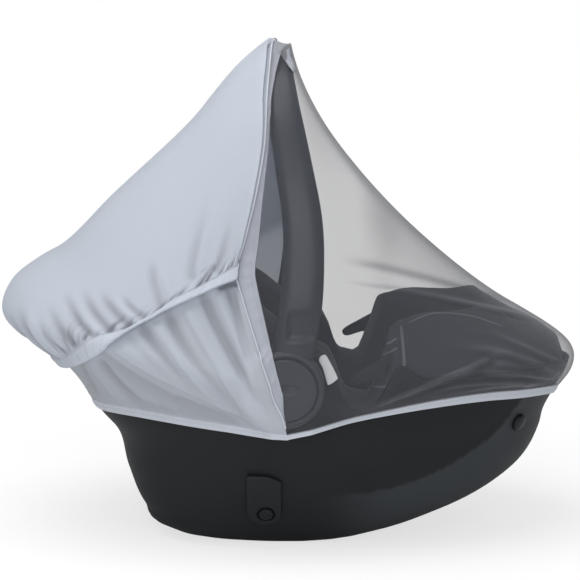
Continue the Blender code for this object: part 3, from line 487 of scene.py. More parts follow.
FLAP_PLEATS = [
    ("near", -0.318, 0.25, -0.306, 0.226, -0.288, 0.208, 0.0045, -0.003, 0.0),
    ("near", -0.31, 0.262, -0.296, 0.232, -0.272, 0.21, 0.0048, -0.0034, 0.0),
    ("near", -0.3, 0.268, -0.284, 0.24, -0.258, 0.216, 0.0048, -0.0034, 0.2),
    ("near", -0.29, 0.276, -0.276, 0.244, -0.248, 0.22, 0.0055, 0.0034, 0.3),
    ("near", -0.276, 0.262, -0.26, 0.238, -0.238, 0.226, 0.0045, -0.003, 0.0),
    ("near", -0.264, 0.276, -0.246, 0.248, -0.222, 0.233, 0.005, -0.0036, 0.2),
    ("near", -0.246, 0.29, -0.228, 0.262, -0.204, 0.243, 0.005, -0.0038, 0.2),
    ("near", -0.234, 0.286, -0.218, 0.262, -0.196, 0.247, 0.0045, 0.0026, 0.0),
    ("near", -0.226, 0.294, -0.21, 0.27, -0.188, 0.251, 0.0046, -0.0036, 0.1),
    ("near", -0.204, 0.292, -0.192, 0.276, -0.172, 0.26, 0.0044, -0.0034, 0.1),
    ("near", -0.19, 0.29, -0.18, 0.277, -0.164, 0.265, 0.0042, 0.0022, 0.0),
    ("near", -0.18, 0.29, -0.171, 0.279, -0.157, 0.269, 0.0036, -0.0026, 0.0),
    ("near", -0.146, 0.33, -0.146, 0.308, -0.138, 0.284, 0.0046, -0.0024, 0.0),
    ("near", -0.134, 0.326, -0.133, 0.306, -0.126, 0.29, 0.0036, 0.0016, 0.0),
    ("near", -0.082, 0.4, -0.1, 0.336, -0.104, 0.312, 0.0052, -0.0024, 0.2),
    ("near", -0.072, 0.41, -0.09, 0.346, -0.096, 0.316, 0.006, 0.002, 0.0),
    ("near", -0.06, 0.38, -0.072, 0.336, -0.078, 0.32, 0.0042, -0.0022, 0.1),
    ("far", -0.296, 0.24, -0.27, 0.215, -0.24, 0.202, 0.006, -0.0026, 0.2),
    ("far", -0.255, 0.258, -0.228, 0.232, -0.2, 0.22, 0.006, 0.003, 0.2),
    ("far", -0.226, 0.268, -0.206, 0.25, -0.18, 0.234, 0.0055, -0.0026, 0.1),
    ("far", -0.19, 0.28, -0.172, 0.262, -0.155, 0.25, 0.0055, -0.0026, 0.1),
    ("far", -0.15, 0.296, -0.138, 0.28, -0.124, 0.264, 0.006, 0.0018, 0.1),
    ("far", -0.068, 0.4, -0.08, 0.35, -0.092, 0.312, 0.012, -0.0024, 0.2),
]
MESH_CREASES = [
    ("near", 0.048, 0.311, 0.14, 0.29, 0.284, 0.248, 0.0026, 0.0026, 0.35),
    ("near", 0.078, 0.171, 0.13, 0.192, 0.236, 0.226, 0.0028, 0.0026, -0.3),
    ("near", 0.098, 0.172, 0.16, 0.195, 0.25, 0.219, 0.003, -0.0016, 0.0),
    ("near", 0.18, 0.232, 0.24, 0.222, 0.316, 0.186, 0.0034, 0.0022, 0.0),
    ("near", 0.2, 0.222, 0.254, 0.21, 0.316, 0.178, 0.0028, -0.0022, 0.0),
    ("near", 0.15, 0.203, 0.22, 0.206, 0.308, 0.184, 0.0028, 0.0024, 0.0),
    ("near", 0.176, 0.196, 0.236, 0.198, 0.302, 0.18, 0.0026, -0.002, 0.0),
    ("near", 0.14, 0.188, 0.21, 0.195, 0.29, 0.182, 0.0026, 0.0022, 0.0),
    ("near", 0.17, 0.184, 0.226, 0.189, 0.276, 0.182, 0.0024, 0.0018, 0.0),
    ("near", 0.216, 0.246, 0.262, 0.226, 0.318, 0.196, 0.003, 0.0018, 0.0),
    ("far", 0.06, 0.29, 0.14, 0.276, 0.27, 0.246, 0.007, 0.0028, 0.2),
    ("far", 0.12, 0.185, 0.19, 0.2, 0.29, 0.216, 0.0065, -0.0026, 0.1),
    ("far", 0.09, 0.172, 0.15, 0.186, 0.23, 0.208, 0.0055, 0.0022, 0.1),
    ("far", 0.2, 0.226, 0.25, 0.21, 0.306, 0.176, 0.005, -0.002, 0.0),
]
# Seams on the near side of the padded seat, in side view: rows of x and z along each, and its radius.
SEAT_SEAMS = [
    (0.0016, [(0.063, 0.2135), (0.08, 0.22), (0.098, 0.231), (0.117, 0.242)]),
    (0.0014, [(0.065, 0.207), (0.083, 0.213), (0.1, 0.223), (0.117, 0.233)]),
    (0.0024, [(0.1225, 0.254), (0.1235, 0.23), (0.124, 0.205), (0.1225, 0.189)]),
    (0.0014, [(0.066, 0.186), (0.085, 0.19), (0.105, 0.193), (0.118, 0.195)]),
    (0.0012, [(0.13, 0.256), (0.16, 0.264), (0.2, 0.26), (0.24, 0.247)]),
]
# Unevenness of the pull along an edge: waves per edge, share of the height, start.
GATHER_WAVES = [(41, 0.42, 0.3), (57, 0.3, 2.1), (73, 0.2, 4.0), (23, 0.34, 1.2)]
# Gathers above the flap's hem: how many, and for their depth, width and length the middle and the spread.
GATHERS, GATHER_DEPTH, GATHER_WIDTH, GATHER_LENGTH = 112, (0.0026, 0.0012), (0.002, 0.0006), (0.015, 0.008)
HEM_TALL, HEM_LAP = 0.0165, 0.001
# Sines of a gather's number at these rates swing its place, its slant, its width and its length.
SWING_RATES = (2.399, 1.713, 3.571, 0.917)
STITCH_LENGTH = 0.0026
# A fold is sampled so often along its line, is felt no further off than the margin and keeps off the middle strip.
FOLD_SAMPLES, FOLD_MARGIN, MIDDLE_STRIP, LEAN_SOFTNESS = 129, 0.04, 0.02, 0.4
# Radians in a turn of the knit's sines.
KNIT_TURN = 6.2832


def pleat_heights(grid, folds, rise=(2.5, 0.1), fall=(7.0, 0.25), reach=1.0):
    """Sum of the folds at each point. A fold is a bell over the distance from its curved line in side view,
    narrower on the side that it leans to. It fades towards both ends of the line, which runs on to its reach."""
    total = np.zeros(grid.shape[:-1])
    x, y, z = np.moveaxis(grid, -1, 0)
    ends = np.linspace(0, reach, FOLD_SAMPLES)
    for side, x0, z0, x1, z1, x2, z2, width, height, lean in folds:
        bow_x, bow_z = 2 * x1 - 0.5 * (x0 + x2), 2 * z1 - 0.5 * (z0 + z2)
        line_x = (1 - ends) ** 2 * x0 + 2 * ends * (1 - ends) * bow_x + ends**2 * x2
        line_z = (1 - ends) ** 2 * z0 + 2 * ends * (1 - ends) * bow_z + ends**2 * z2
        on_side = y < -MIDDLE_STRIP if side == "near" else y > MIDDLE_STRIP
        box = on_side & (x > line_x.min() - FOLD_MARGIN) & (x < line_x.max() + FOLD_MARGIN)
        box &= (z > line_z.min() - FOLD_MARGIN) & (z < line_z.max() + FOLD_MARGIN)
        px, pz = x[box], z[box]
        apart = np.hypot(px[:, None] - line_x, pz[:, None] - line_z)
        nearest = apart.argmin(axis=1)
        gap = apart.min(axis=1)
        above = np.tanh((pz - line_z[nearest]) / (LEAN_SOFTNESS * width))
        spread = width * (1 + lean * above)
        share = ends[nearest] / reach
        fade = smooth_step(rise[0] * share + rise[1]) * smooth_step(fall[0] * (1 - share) + fall[1])
        total[box] += height * fade * np.exp(-((gap / spread) ** 2))
    return total


def gathers(places):
    """Uneven wave along an edge: a sum of sines whose counts share no factor, between about -1 and 1."""
    wave = np.zeros_like(places)
    for count, share, start in GATHER_WAVES:
        drift = 1.7 * np.sin(2 * math.pi * 3 * places + start)
        wave += share * np.sin(2 * math.pi * count * places + start + drift)
    return wave


def pulled_gathers(places, up):
    """Narrow valleys that start at an edge and die out up the cloth. Their places are even steps shifted by sines
    of their number, and their depth, width, length and slant swing with other sines of it."""
    total = np.zeros(up.shape)
    for number in range(GATHERS):
        swing = [math.sin(number * rate) for rate in SWING_RATES]
        place = (number + 0.5 + 0.38 * swing[0]) / GATHERS
        depth = GATHER_DEPTH[0] + GATHER_DEPTH[1] * swing[1]
        width = GATHER_WIDTH[0] + GATHER_WIDTH[1] * swing[2]
        length = GATHER_LENGTH[0] + GATHER_LENGTH[1] * swing[3]
        away = (places - place - 0.12 * swing[1] * up) / (width * (1 + up / 0.05))
        total -= depth * np.exp(-(away**2)) * np.exp(-((np.maximum(up - HEM_TALL, 0) / length) ** 2))
    return total


def crowded(count, low=0.0, high=1.0):
    """Places from low to high that stand four times as close at both ends as their even step."""
    even = np.linspace(0, 1, count)
    return low + (high - low) * (even - 0.75 * np.sin(2 * math.pi * even) / (2 * math.pi))


def arc_lengths(grid):
    """Lengths along both directions of a grid, in metres: mean length across, and from the last row upwards."""
    across = np.linalg.norm(np.diff(grid, axis=0), axis=-1).mean(axis=1)
    across = np.concatenate([[0.0], np.cumsum(across)])
    down = np.linalg.norm(np.diff(grid, axis=1), axis=-1)
    up = np.cumsum(down[:, ::-1], axis=1)[:, ::-1]
    up = np.concatenate([up, np.zeros((len(grid), 1))], axis=1)
    return np.broadcast_to(across[:, None], up.shape), up


def link_piece(name, mesh, material):
    """A piece of the object from a finished mesh, riding on the seat."""
    mesh.materials.append(material)
    mesh.shade_smooth()
    piece = bpy.data.objects.new(name, mesh)
    bpy.context.scene.collection.objects.link(piece)
    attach(piece, "root")
    return piece


def grid_piece(name, grid, material, lengths=None, tint=None, wrap=False, outwards=1):
    """A piece over a grid of points. Faces join neighbours in both directions, wrap closes the second
    direction, lengths become its UV map in metres and tint its point attribute."""
    rows, columns = grid.shape[:2]
    index = np.arange(rows * columns).reshape(rows, columns)
    if wrap:
        index = np.concatenate([index, index[:, :1]], axis=1)
    quads = np.stack([index[:-1, :-1], index[1:, :-1], index[1:, 1:], index[:-1, 1:]], axis=-1).reshape(-1, 4)
    if outwards < 0:
        quads = quads[:, ::-1]
    mesh = bpy.data.meshes.new(name)
    mesh.from_pydata(grid.reshape(-1, 3).tolist(), [], quads.tolist())
    if lengths is not None:
        layer = mesh.uv_layers.new(name="lengths")
        corners = np.stack([np.ravel(lengths[0]), np.ravel(lengths[1])], axis=-1)[quads.ravel()]
        layer.data.foreach_set("uv", corners.astype(np.float32).ravel())
    if tint is not None:
        spread = mesh.attributes.new("tint", "FLOAT", "POINT")
        spread.data.foreach_set("value", np.ravel(tint).astype(np.float32))
    return link_piece(name, mesh, material)


def facing_out(grid):
    """1 where the grid's faces already turn away from the seat's middle, else -1."""
    middle = np.array([0.0, 0.0, 0.2])
    turn = np.cross(np.gradient(grid, axis=0), np.gradient(grid, axis=1))
    return 1 if np.sum(turn * (grid - middle)) > 0 else -1


def lathe(name, centre, side, profile, material, sides=96, dent=None):
    """A turned piece on an axis across the seat: the profile's radius and stand-off, carried round the
    centre. dent lowers points by their place in side view."""
    profile = np.asarray(profile, float)
    turns = np.arange(sides) * 2 * math.pi / sides
    x = centre[0] + profile[:, None, 0] * np.cos(turns)
    z = centre[1] + profile[:, None, 0] * np.sin(turns)
    stand = np.broadcast_to(profile[:, None, 1], x.shape).copy()
    if dent is not None:
        stand -= dent(x, z)
    grid = np.stack([x, side * stand, z], axis=-1)
    piece = grid_piece(name, grid, material, wrap=True, outwards=1)
    close_poles(piece)
    return piece


def close_poles(piece):
    """Merges points that share a place and turns every face outwards."""
    work = bmesh.new()
    work.from_mesh(piece.data)
    bmesh.ops.remove_doubles(work, verts=work.verts, dist=0.00002)
    bmesh.ops.recalc_face_normals(work, faces=work.faces)
    work.to_mesh(piece.data)
    work.free()
    piece.data.shade_smooth()


# Shared effects.


def effect_group(name, inputs, outputs):
    """An empty node group with float or vector sockets and its two end nodes."""
    group = bpy.data.node_groups.new(name, "ShaderNodeTree")
    for label, kind, value in inputs:
        made = group.interface.new_socket(name=label, in_out="INPUT", socket_type=kind)
        if value is not None:
            made.default_value = value
    for label in outputs:
        group.interface.new_socket(name=label, in_out="OUTPUT", socket_type="NodeSocketFloat")
    return group, group.nodes.new("NodeGroupInput"), group.nodes.new("NodeGroupOutput")


def maths(tree, operation, first, second=None, third=None, clamp=False):
    """A Math node whose inputs are sockets or numbers."""
    node = tree.nodes.new("ShaderNodeMath")
    node.operation = operation
    node.use_clamp = clamp
    for place, value in enumerate((first, second, third)):
        if value is None:
            continue
        if isinstance(value, (int, float)):
            node.inputs[place].default_value = value
        else:
            tree.links.new(value, node.inputs[place])
    return node.outputs[0]


def knit_effect():
    """Jersey: columns of V stitches. Height is a sine over columns whose phase leans with the row."""
    group, start, end = effect_group(
        "jersey_knit",
        [("Lengths", "NodeSocketVector", None), ("Pitch", "NodeSocketFloat", 0.0011)],
        ["Height", "Shade"],
    )
    split = group.nodes.new("ShaderNodeSeparateXYZ")
    group.links.new(start.outputs["Lengths"], split.inputs[0])
    column = maths(group, "DIVIDE", split.outputs[0], start.outputs["Pitch"])
    row = maths(group, "DIVIDE", split.outputs[1], start.outputs["Pitch"])
    leg = maths(group, "ABSOLUTE", maths(group, "SUBTRACT", maths(group, "FRACT", column), 0.5))
    stitch = maths(group, "SINE", maths(group, "MULTIPLY", maths(group, "ADD", row, leg), KNIT_TURN))
    rib = maths(group, "MULTIPLY", maths(group, "SINE", maths(group, "MULTIPLY", column, KNIT_TURN)), 0.6)
    raw = maths(group, "MULTIPLY", maths(group, "ADD", stitch, rib), 0.3)
    height = maths(group, "ADD", raw, 0.5)
    group.links.new(height, end.inputs["Height"])
    noise = group.nodes.new("ShaderNodeTexNoise")
    noise.inputs["Scale"].default_value = 900
    noise.inputs["Detail"].default_value = 2
    group.links.new(start.outputs["Lengths"], noise.inputs["Vector"])
    shade = maths(group, "MULTIPLY_ADD", height, 0.35, maths(group, "MULTIPLY", noise.outputs[0], 0.65))
    group.links.new(shade, end.inputs["Shade"])
    return group


def stitch_effect():
    """A sewn line: dashes of even length along the first length, at one distance from the edge."""
    group, start, end = effect_group(
        "stitch_line",
        [
            ("Lengths", "NodeSocketVector", None),
            ("From Edge", "NodeSocketFloat", 0.0095),
            ("Half Width", "NodeSocketFloat", 0.0004),
            ("Stitch", "NodeSocketFloat", STITCH_LENGTH),
        ],
        ["Mask", "Groove"],
    )
    split = group.nodes.new("ShaderNodeSeparateXYZ")
    group.links.new(start.outputs["Lengths"], split.inputs[0])
    away = maths(group, "ABSOLUTE", maths(group, "SUBTRACT", split.outputs[1], start.outputs["From Edge"]))
    across = maths(group, "SUBTRACT", 1.0, maths(group, "DIVIDE", away, start.outputs["Half Width"]), clamp=True)
    dash = maths(group, "FRACT", maths(group, "DIVIDE", split.outputs[0], start.outputs["Stitch"]))
    on = maths(group, "LESS_THAN", dash, 0.78)
    group.links.new(maths(group, "MULTIPLY", across, on), end.inputs["Mask"])
    wide = maths(group, "MULTIPLY", start.outputs["Half Width"], 3.0)
    groove = maths(group, "SUBTRACT", 1.0, maths(group, "DIVIDE", away, wide), clamp=True)
    group.links.new(groove, end.inputs["Groove"])
    return group


def grain_effect():
    """Moulded grain: fine noise for height, and broad soft noise for a worn or handled shade."""
    group, start, end = effect_group(
        "moulded_grain",
        [("Place", "NodeSocketVector", None), ("Fine", "NodeSocketFloat", 900.0), ("Broad", "NodeSocketFloat", 14.0)],
        ["Height", "Shade"],
    )
    for label, scale, detail, out in (("fine", "Fine", 3, "Height"), ("broad", "Broad", 4, "Shade")):
        noise = group.nodes.new("ShaderNodeTexNoise")
        noise.label = label
        noise.inputs["Detail"].default_value = detail
        group.links.new(start.outputs["Place"], noise.inputs["Vector"])
        group.links.new(start.outputs[scale], noise.inputs["Scale"])
        group.links.new(noise.outputs[0], end.inputs[out])
    return group


def place_effect(tree, group, **values):
    node = tree.nodes.new("ShaderNodeGroup")
    node.node_tree = group
    for label, value in values.items():
        socket = node.inputs[label.replace("_", " ")]
        if isinstance(value, (int, float)):
            socket.default_value = value
        else:
            tree.links.new(value, socket)
    return node


def new_material(name, roughness, specular=0.3, sheen=0.0):
    material = bpy.data.materials.new(name)
    material.use_nodes = True
    shader = material.node_tree.nodes["Principled BSDF"]
    shader.inputs["Roughness"].default_value = roughness
    shader.inputs["Specular IOR Level"].default_value = specular
    shader.inputs["Sheen Weight"].default_value = sheen
    coordinates = material.node_tree.nodes.new("ShaderNodeTexCoord")
    return material, material.node_tree, shader, coordinates


def mixed_colour(tree, share, first, second):
    node = tree.nodes.new("ShaderNodeMix")
    node.data_type = "RGBA"
    colours = [socket for socket in node.inputs if socket.type == "RGBA"]
    for socket, value in zip(colours, (first, second)):
        if isinstance(value, tuple):
            socket.default_value = (*value, 1.0)
        else:
            tree.links.new(value, socket)
    if isinstance(share, (int, float)):
        node.inputs[0].default_value = share
    else:
        tree.links.new(share, node.inputs[0])
    return [socket for socket in node.outputs if socket.type == "RGBA"][0]


def add_bump(tree, shader, height, strength, distance):
    bump = tree.nodes.new("ShaderNodeBump")
    bump.inputs["Strength"].default_value = strength
    bump.inputs["Distance"].default_value = distance
    tree.links.new(height, bump.inputs["Height"])
    tree.links.new(bump.outputs[0], shader.inputs["Normal"])


def attribute_value(tree, name):
    node = tree.nodes.new("ShaderNodeAttribute")
    node.attribute_name = name
    return node.outputs["Fac"]


def cloth_material(name, light, dark, knit, stitch, stitch_at=None, pitch=0.0011, sheer=0.0, relief=0.35):
    """Knitted cloth: two close tones mixed by the knit's shade, with painted shade in its creases and in the groove of
    its sewn line.
    """
    material, tree, shader, coordinates = new_material(name, 0.88, 0.1, 0.1)
    lengths = coordinates.outputs["UV"]
    weave = place_effect(tree, knit, Lengths=lengths, Pitch=pitch)
    colour = mixed_colour(tree, weave.outputs["Shade"], dark, light)
    # Painted shade: a darker copy of the cloth's tone, mixed in by the point attribute where the creases sink.
    shadow = tuple(0.66 * part for part in dark)
    colour = mixed_colour(tree, attribute_value(tree, "tint"), colour, (shadow[0] * 1.04, shadow[1], shadow[2]))
    height = maths(tree, "MULTIPLY", weave.outputs["Height"], 0.35)
    if stitch_at:
        for at in stitch_at:
            line = place_effect(tree, stitch, Lengths=lengths, From_Edge=at)
            # Painted shade along the stitch's groove, then the pale thread over it.
            colour = mixed_colour(tree, maths(tree, "MULTIPLY", line.outputs["Groove"], 0.35), colour, shadow)
            colour = mixed_colour(tree, maths(tree, "MULTIPLY", line.outputs["Mask"], 0.8), colour, light)
            height = maths(tree, "SUBTRACT", height, line.outputs["Groove"])
            height = maths(tree, "MULTIPLY_ADD", line.outputs["Mask"], 0.8, height)
    tree.links.new(colour, shader.inputs["Base Color"])
    add_bump(tree, shader, height, relief, 0.0006)
    if sheer:
        behind = tree.nodes.new("ShaderNodeBsdfTranslucent")
        tree.links.new(colour, behind.inputs["Color"])
        both = tree.nodes.new("ShaderNodeMixShader")
        both.inputs[0].default_value = sheer
        tree.links.new(shader.outputs[0], both.inputs[1])
        tree.links.new(behind.outputs[0], both.inputs[2])
        tree.links.new(both.outputs[0], tree.nodes["Material Output"].inputs["Surface"])
    return material


# Mesh: holes to a metre and how uneven, how much a hole's distance and a crease close it, and how fast it closes
# as the look grazes it.
HOLES_PER_METRE, HOLES_UNEVEN, HOLE_CONTRAST, HOLE_OFFSET = 620, 0.25, -0.1, 0.03
CREASE_CLOSES, GRAZING_POWER, LEAST_FACING = -0.26, -0.68, 0.08


def mesh_material(name, thread, opening):
    """Sheer mesh: threads round small holes. The share of light that gets through is raised to the power of one
    over the cosine of the look, so that it closes towards the silhouettes as stacked threads do."""
    material, tree, shader, coordinates = new_material(name, 0.75, 0.25, 0.15)
    holes = tree.nodes.new("ShaderNodeTexVoronoi")
    holes.inputs["Scale"].default_value = HOLES_PER_METRE
    holes.inputs["Randomness"].default_value = HOLES_UNEVEN
    tree.links.new(coordinates.outputs["UV"], holes.inputs["Vector"])
    weight = tree.nodes.new("ShaderNodeLayerWeight")
    weight.inputs["Blend"].default_value = 0.5
    facing = maths(tree, "MAXIMUM", maths(tree, "SUBTRACT", 1.0, weight.outputs["Facing"]), LEAST_FACING)
    hole = maths(tree, "MULTIPLY_ADD", holes.outputs["Distance"], HOLE_CONTRAST, 1 - opening + HOLE_OFFSET)
    hole = maths(tree, "MULTIPLY_ADD", attribute_value(tree, "tint"), CREASE_CLOSES, hole)
    through = maths(tree, "POWER", hole, maths(tree, "POWER", facing, GRAZING_POWER))
    tree.links.new(maths(tree, "SUBTRACT", 1.0, through, clamp=True), shader.inputs["Alpha"])
    noise = tree.nodes.new("ShaderNodeTexNoise")
    noise.inputs["Scale"].default_value = 30
    tree.links.new(coordinates.outputs["UV"], noise.inputs["Vector"])
    low, high = (tuple(share * part for part in thread) for share in (0.85, 1.12))
    tree.links.new(mixed_colour(tree, noise.outputs[0], low, high), shader.inputs["Base Color"])
    return material


def plastic_material(name, low, high, roughness, grain, fine=900.0, specular=0.22, band_painted_light=None):
    """Moulded plastic: two close tones over broad patches, fine grain in the normal. The last tone is painted lighter
    where the point attribute says that the lower band runs, for the light that the band takes from the floor."""
    material, tree, shader, coordinates = new_material(name, roughness, specular)
    effect = place_effect(tree, grain, Place=coordinates.outputs["Object"], Fine=fine)
    colour = mixed_colour(tree, effect.outputs["Shade"], low, high)
    if band_painted_light:
        # Painted light: the lower band gets a lighter tone for the light it takes from the floor.
        colour = mixed_colour(tree, attribute_value(tree, "tint"), colour, band_painted_light)
    tree.links.new(colour, shader.inputs["Base Color"])
    rough = maths(tree, "MULTIPLY_ADD", effect.outputs["Shade"], 0.16, roughness - 0.08)
    tree.links.new(rough, shader.inputs["Roughness"])
    add_bump(tree, shader, effect.outputs["Height"], 0.04, 0.0003)
    return material


JERSEY = ((0.69, 0.735, 0.805), (0.59, 0.63, 0.69))
# Cloths: name, light and dark tone, then how they differ from the plain knit.
CLOTHS = {
    "jersey": ("jersey", *JERSEY, {"sheer": 0.48}),
    "hemmed": ("hemmed_jersey", *JERSEY, {"stitch_at": (HEM_TALL, HEM_TALL - 0.0016), "sheer": 0.45}),
    "trim": (
        "pale_facing",
        (0.355, 0.372, 0.415),
        (0.3, 0.315, 0.36),
        {"stitch_at": (0.0022, 0.0052), "pitch": 0.0009},
    ),
    "elastic": (
        "ribbed_elastic",
        (0.48, 0.505, 0.56),
        (0.39, 0.415, 0.465),
        {"stitch_at": (0.0044,), "pitch": 0.0016},
    ),
    "cord": ("piping_cord", (0.5, 0.52, 0.57), (0.42, 0.44, 0.49), {"pitch": 0.0012}),
    "lining": ("seat_fabric", (0.036, 0.039, 0.046), (0.03, 0.033, 0.039), {"pitch": 0.0016, "relief": 0.03}),
}
# Plastics: name, low and high tone, roughness, then how they differ from the plain moulding.
PLASTICS = {
    "bucket": (
        "black_moulding",
        (0.01, 0.011, 0.013),
        (0.015, 0.017, 0.019),
        0.6,
        # The bucket's third tone is painted light from the floor on its lower band.
        {"specular": 0.12, "band_painted_light": (0.03, 0.034, 0.038)},
    ),
    "catch": ("catch_moulding", (0.008, 0.009, 0.01), (0.014, 0.015, 0.017), 0.45, {"specular": 0.16}),
    "grey": ("grey_moulding", (0.019, 0.024, 0.034), (0.028, 0.034, 0.046), 0.38, {"fine": 700.0, "specular": 0.4}),
    "arch": ("dark_arch", (0.012, 0.016, 0.024), (0.02, 0.026, 0.037), 0.32, {"fine": 700.0, "specular": 0.35}),
    "pale": ("pale_moulding", (0.84, 0.855, 0.88), (0.9, 0.91, 0.93), 0.42, {"specular": 0.4}),
    # The welts are paler than the seat fabric to paint the highlights along the seat's seams.
    "welt": ("seam_welt", (0.085, 0.093, 0.11), (0.11, 0.118, 0.135), 0.55, {"specular": 0.3}),
}


def all_materials():
    """Every material by its short key."""
    knit, stitch, grain = knit_effect(), stitch_effect(), grain_effect()
    made = {"mesh": mesh_material("sheer_mesh", (0.105, 0.109, 0.126), 0.255)}
    for key, (name, light, dark, options) in CLOTHS.items():
        made[key] = cloth_material(name, light, dark, knit, stitch, **options)
    for key, (name, low, high, roughness, options) in PLASTICS.items():
        made[key] = plastic_material(name, low, high, roughness, grain, **options)
    return made


# The cover.

REAR_GRID, FLAP_GRID, MESH_GRID = (560, 150), (960, 98), (360, 170)
FLAP_EDGE_RISE, FLAP_RISE_X, FLAP_RISE_SPREAD = 0.003, -0.155, 0.045
# The facing's cap over the handle: where it starts, its share of the mesh's way down, its stand-off, and the
# share of the strip's width that lies before the mesh's seam there.
CAP_START, CAP_REACH, CAP_STAND_OFF, CAP_STRIP = 0.885, 0.055, 0.0014, 0.4
# Depth of lift at which the painted crease shade is darkest on the jersey, and at which a crease on the mesh closes
# its holes most.
CREASE_DEPTH, MESH_CREASE_DEPTH = 0.0045, 0.0028
# The rear cloth may sink so far at its hem, and so much more for each share of the way up.
LEAST_LIFT, LEAST_LIFT_SLOPE = -0.0016, 0.03
FLAP_START, FLAP_END, FLAP_SHEAR = 0.04, 0.96, 0.028
UNDER_FLAP_SINK = 0.0028


def rim_fade(places, downs, across=0.012, down=0.035):
    """1 over the middle of a panel, falling smoothly to 0 at its seam, at both sides and at its hem."""
    sides = smooth_step(np.minimum(places, 1 - places) / across)
    return sides * smooth_step(downs / down) * smooth_step((1 - downs) / 0.02)


def flap_edge(points):
    """Height of the flap's lower edge at these points."""
    drop = FAR_FLAP_DROP * smooth_step(points[..., 1] / 0.1)
    rise = FLAP_EDGE_RISE * np.exp(-(((points[..., 0] - FLAP_RISE_X) / FLAP_RISE_SPREAD) ** 2))
    return along(FLAP_EDGE, points[..., 0])[..., 0] + rise - drop


def flap_reach(places):
    """Share of the way to the hem at which the flap ends, for each place round the head end."""
    trial = np.linspace(0, 1, 1201)
    coarse = np.linspace(places[0], places[-1], 90)
    grid = head_skirt(coarse[:, None], trial[None, :])
    above = np.cumprod(grid[..., 2] > flap_edge(grid), axis=1)
    reach = trial[np.maximum(above.sum(axis=1) - 1, 36)]
    return np.interp(places, coarse, reach)


def crease_painted_shade(lift):
    """How much painted shade a crease gets: the sunk parts of the folds, up to 1."""
    return np.clip(-lift / CREASE_DEPTH, 0.0, 1.0)


def add_rear_cloth(materials):
    """Jersey of the head end: the skirt surface, sunk under the flap, with pleats raised along its normal."""
    rows, columns = REAR_GRID
    places = crowded(rows, 0.0002, 0.9998)[:, None]
    downs = np.linspace(0.001, 1.0, columns)[None, :]
    grid = relaxed(head_skirt(places, downs), 40)
    covered = grid[..., 2] - flap_edge(grid)
    sink = UNDER_FLAP_SINK * smooth_step((covered + 0.004) / 0.02) * smooth_step((downs - 0.3) / 0.2)
    outwards = normals(grid)
    grid = grid - outwards * sink[..., None]
    lift = 1.15 * pleat_heights(grid, REAR_PLEATS, rise=(4.0, 0.6), fall=(3.2, 0.15))
    crests, troughs = smooth_step((0.006 - covered) / 0.022), smooth_step((0.014 - covered) / 0.014)
    lift *= np.where(lift > 0, crests, troughs)
    fade = rim_fade(places, downs)
    hem = np.exp(-((1 - downs) / 0.045))
    ripple = 0.0009 * gathers(np.broadcast_to(places, lift.shape)) * hem * smooth_step((1 - downs) / 0.01)
    lift = np.maximum((lift + ripple) * fade, LEAST_LIFT - LEAST_LIFT_SLOPE * (1 - downs))
    grid = grid + outwards * lift[..., None]
    # Painted shade: the sunk parts of the pleats are darkened, at six tenths of full strength.
    tint = 0.6 * crease_painted_shade(lift)
    piece = grid_piece(
        "rear_cloth", grid, materials["jersey"], arc_lengths(grid), tint, outwards=facing_out(grid)
    )
    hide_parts("rear_panel")
    return piece


def add_flap_cloth(materials):
    """The turned-back layer: it fans out from the seam, and its gathers die out above the hem band. The band is
    the last centimetre, thicker by half and rolled under at its edge."""
    rows, columns = FLAP_GRID
    starts = np.linspace(FLAP_START, FLAP_END, rows)[:, None]
    share = 1 - np.linspace(1, 0, columns)[None, :] ** 1.6
    ends = starts + FLAP_SHEAR * (2 * starts - 1)
    downs = 0.004 + share * (flap_reach(ends[:, 0])[:, None] - 0.004)
    grid = head_skirt(starts + (ends - starts) * share, downs)
    outwards = normals(grid)
    across, up = arc_lengths(grid)
    lift = pleat_heights(grid, FLAP_PLEATS, reach=1.4) * smooth_step(share / 0.04)
    lift *= smooth_step((up - 0.8 * HEM_TALL) / (0.5 * HEM_TALL))
    gather = pulled_gathers(np.broadcast_to((starts - FLAP_START) / (FLAP_END - FLAP_START), up.shape), up)
    gather += 0.0006 * gathers(np.broadcast_to(starts, up.shape)) * np.exp(-np.maximum(up - HEM_TALL, 0) / 0.016)
    gather *= (0.12 + 0.88 * smooth_step((up - HEM_TALL) / 0.004)) * smooth_step(share / 0.3)
    band = 0.0014 * smooth_step((HEM_TALL - up) / 0.0016 + 0.5) * smooth_step(up / 0.0012)
    stand = 0.0014 + 0.0034 * smooth_step((grid[..., 0] + 0.27) / 0.07)
    band += stand * (1 - smooth_step(0.9 * up / HEM_TALL))
    groove = -0.0012 * np.exp(-(((up - HEM_TALL) / 0.0011) ** 2))
    roll = -0.0016 * (1 - smooth_step(up / 0.0022))
    height = FLAP_LIFT + lift + (gather + band + groove + roll) * smooth_step(share / 0.1)
    grid = grid + outwards * height[..., None]
    # Painted shade in the sunk folds, the gathers and the groove above the hem band.
    tint = crease_painted_shade(lift + 1.6 * gather + groove)
    piece = grid_piece(
        "flap_cloth", grid, materials["hemmed"], (across, up), tint, outwards=facing_out(grid)
    )
    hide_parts("sun_flap")
    return piece


def relaxed(grid, rounds):
    """The grid after each inner point has moved, round by round, halfway to the mean of its four neighbours. Cloth
    pulled tight over an edge spreads the bend in this way. Its rim stays."""
    grid = grid.copy()
    for _ in range(rounds):
        mean = grid[:-2, 1:-1] + grid[2:, 1:-1] + grid[1:-1, :-2] + grid[1:-1, 2:]
        grid[1:-1, 1:-1] += 0.5 * (mean / 4 - grid[1:-1, 1:-1])
    return grid


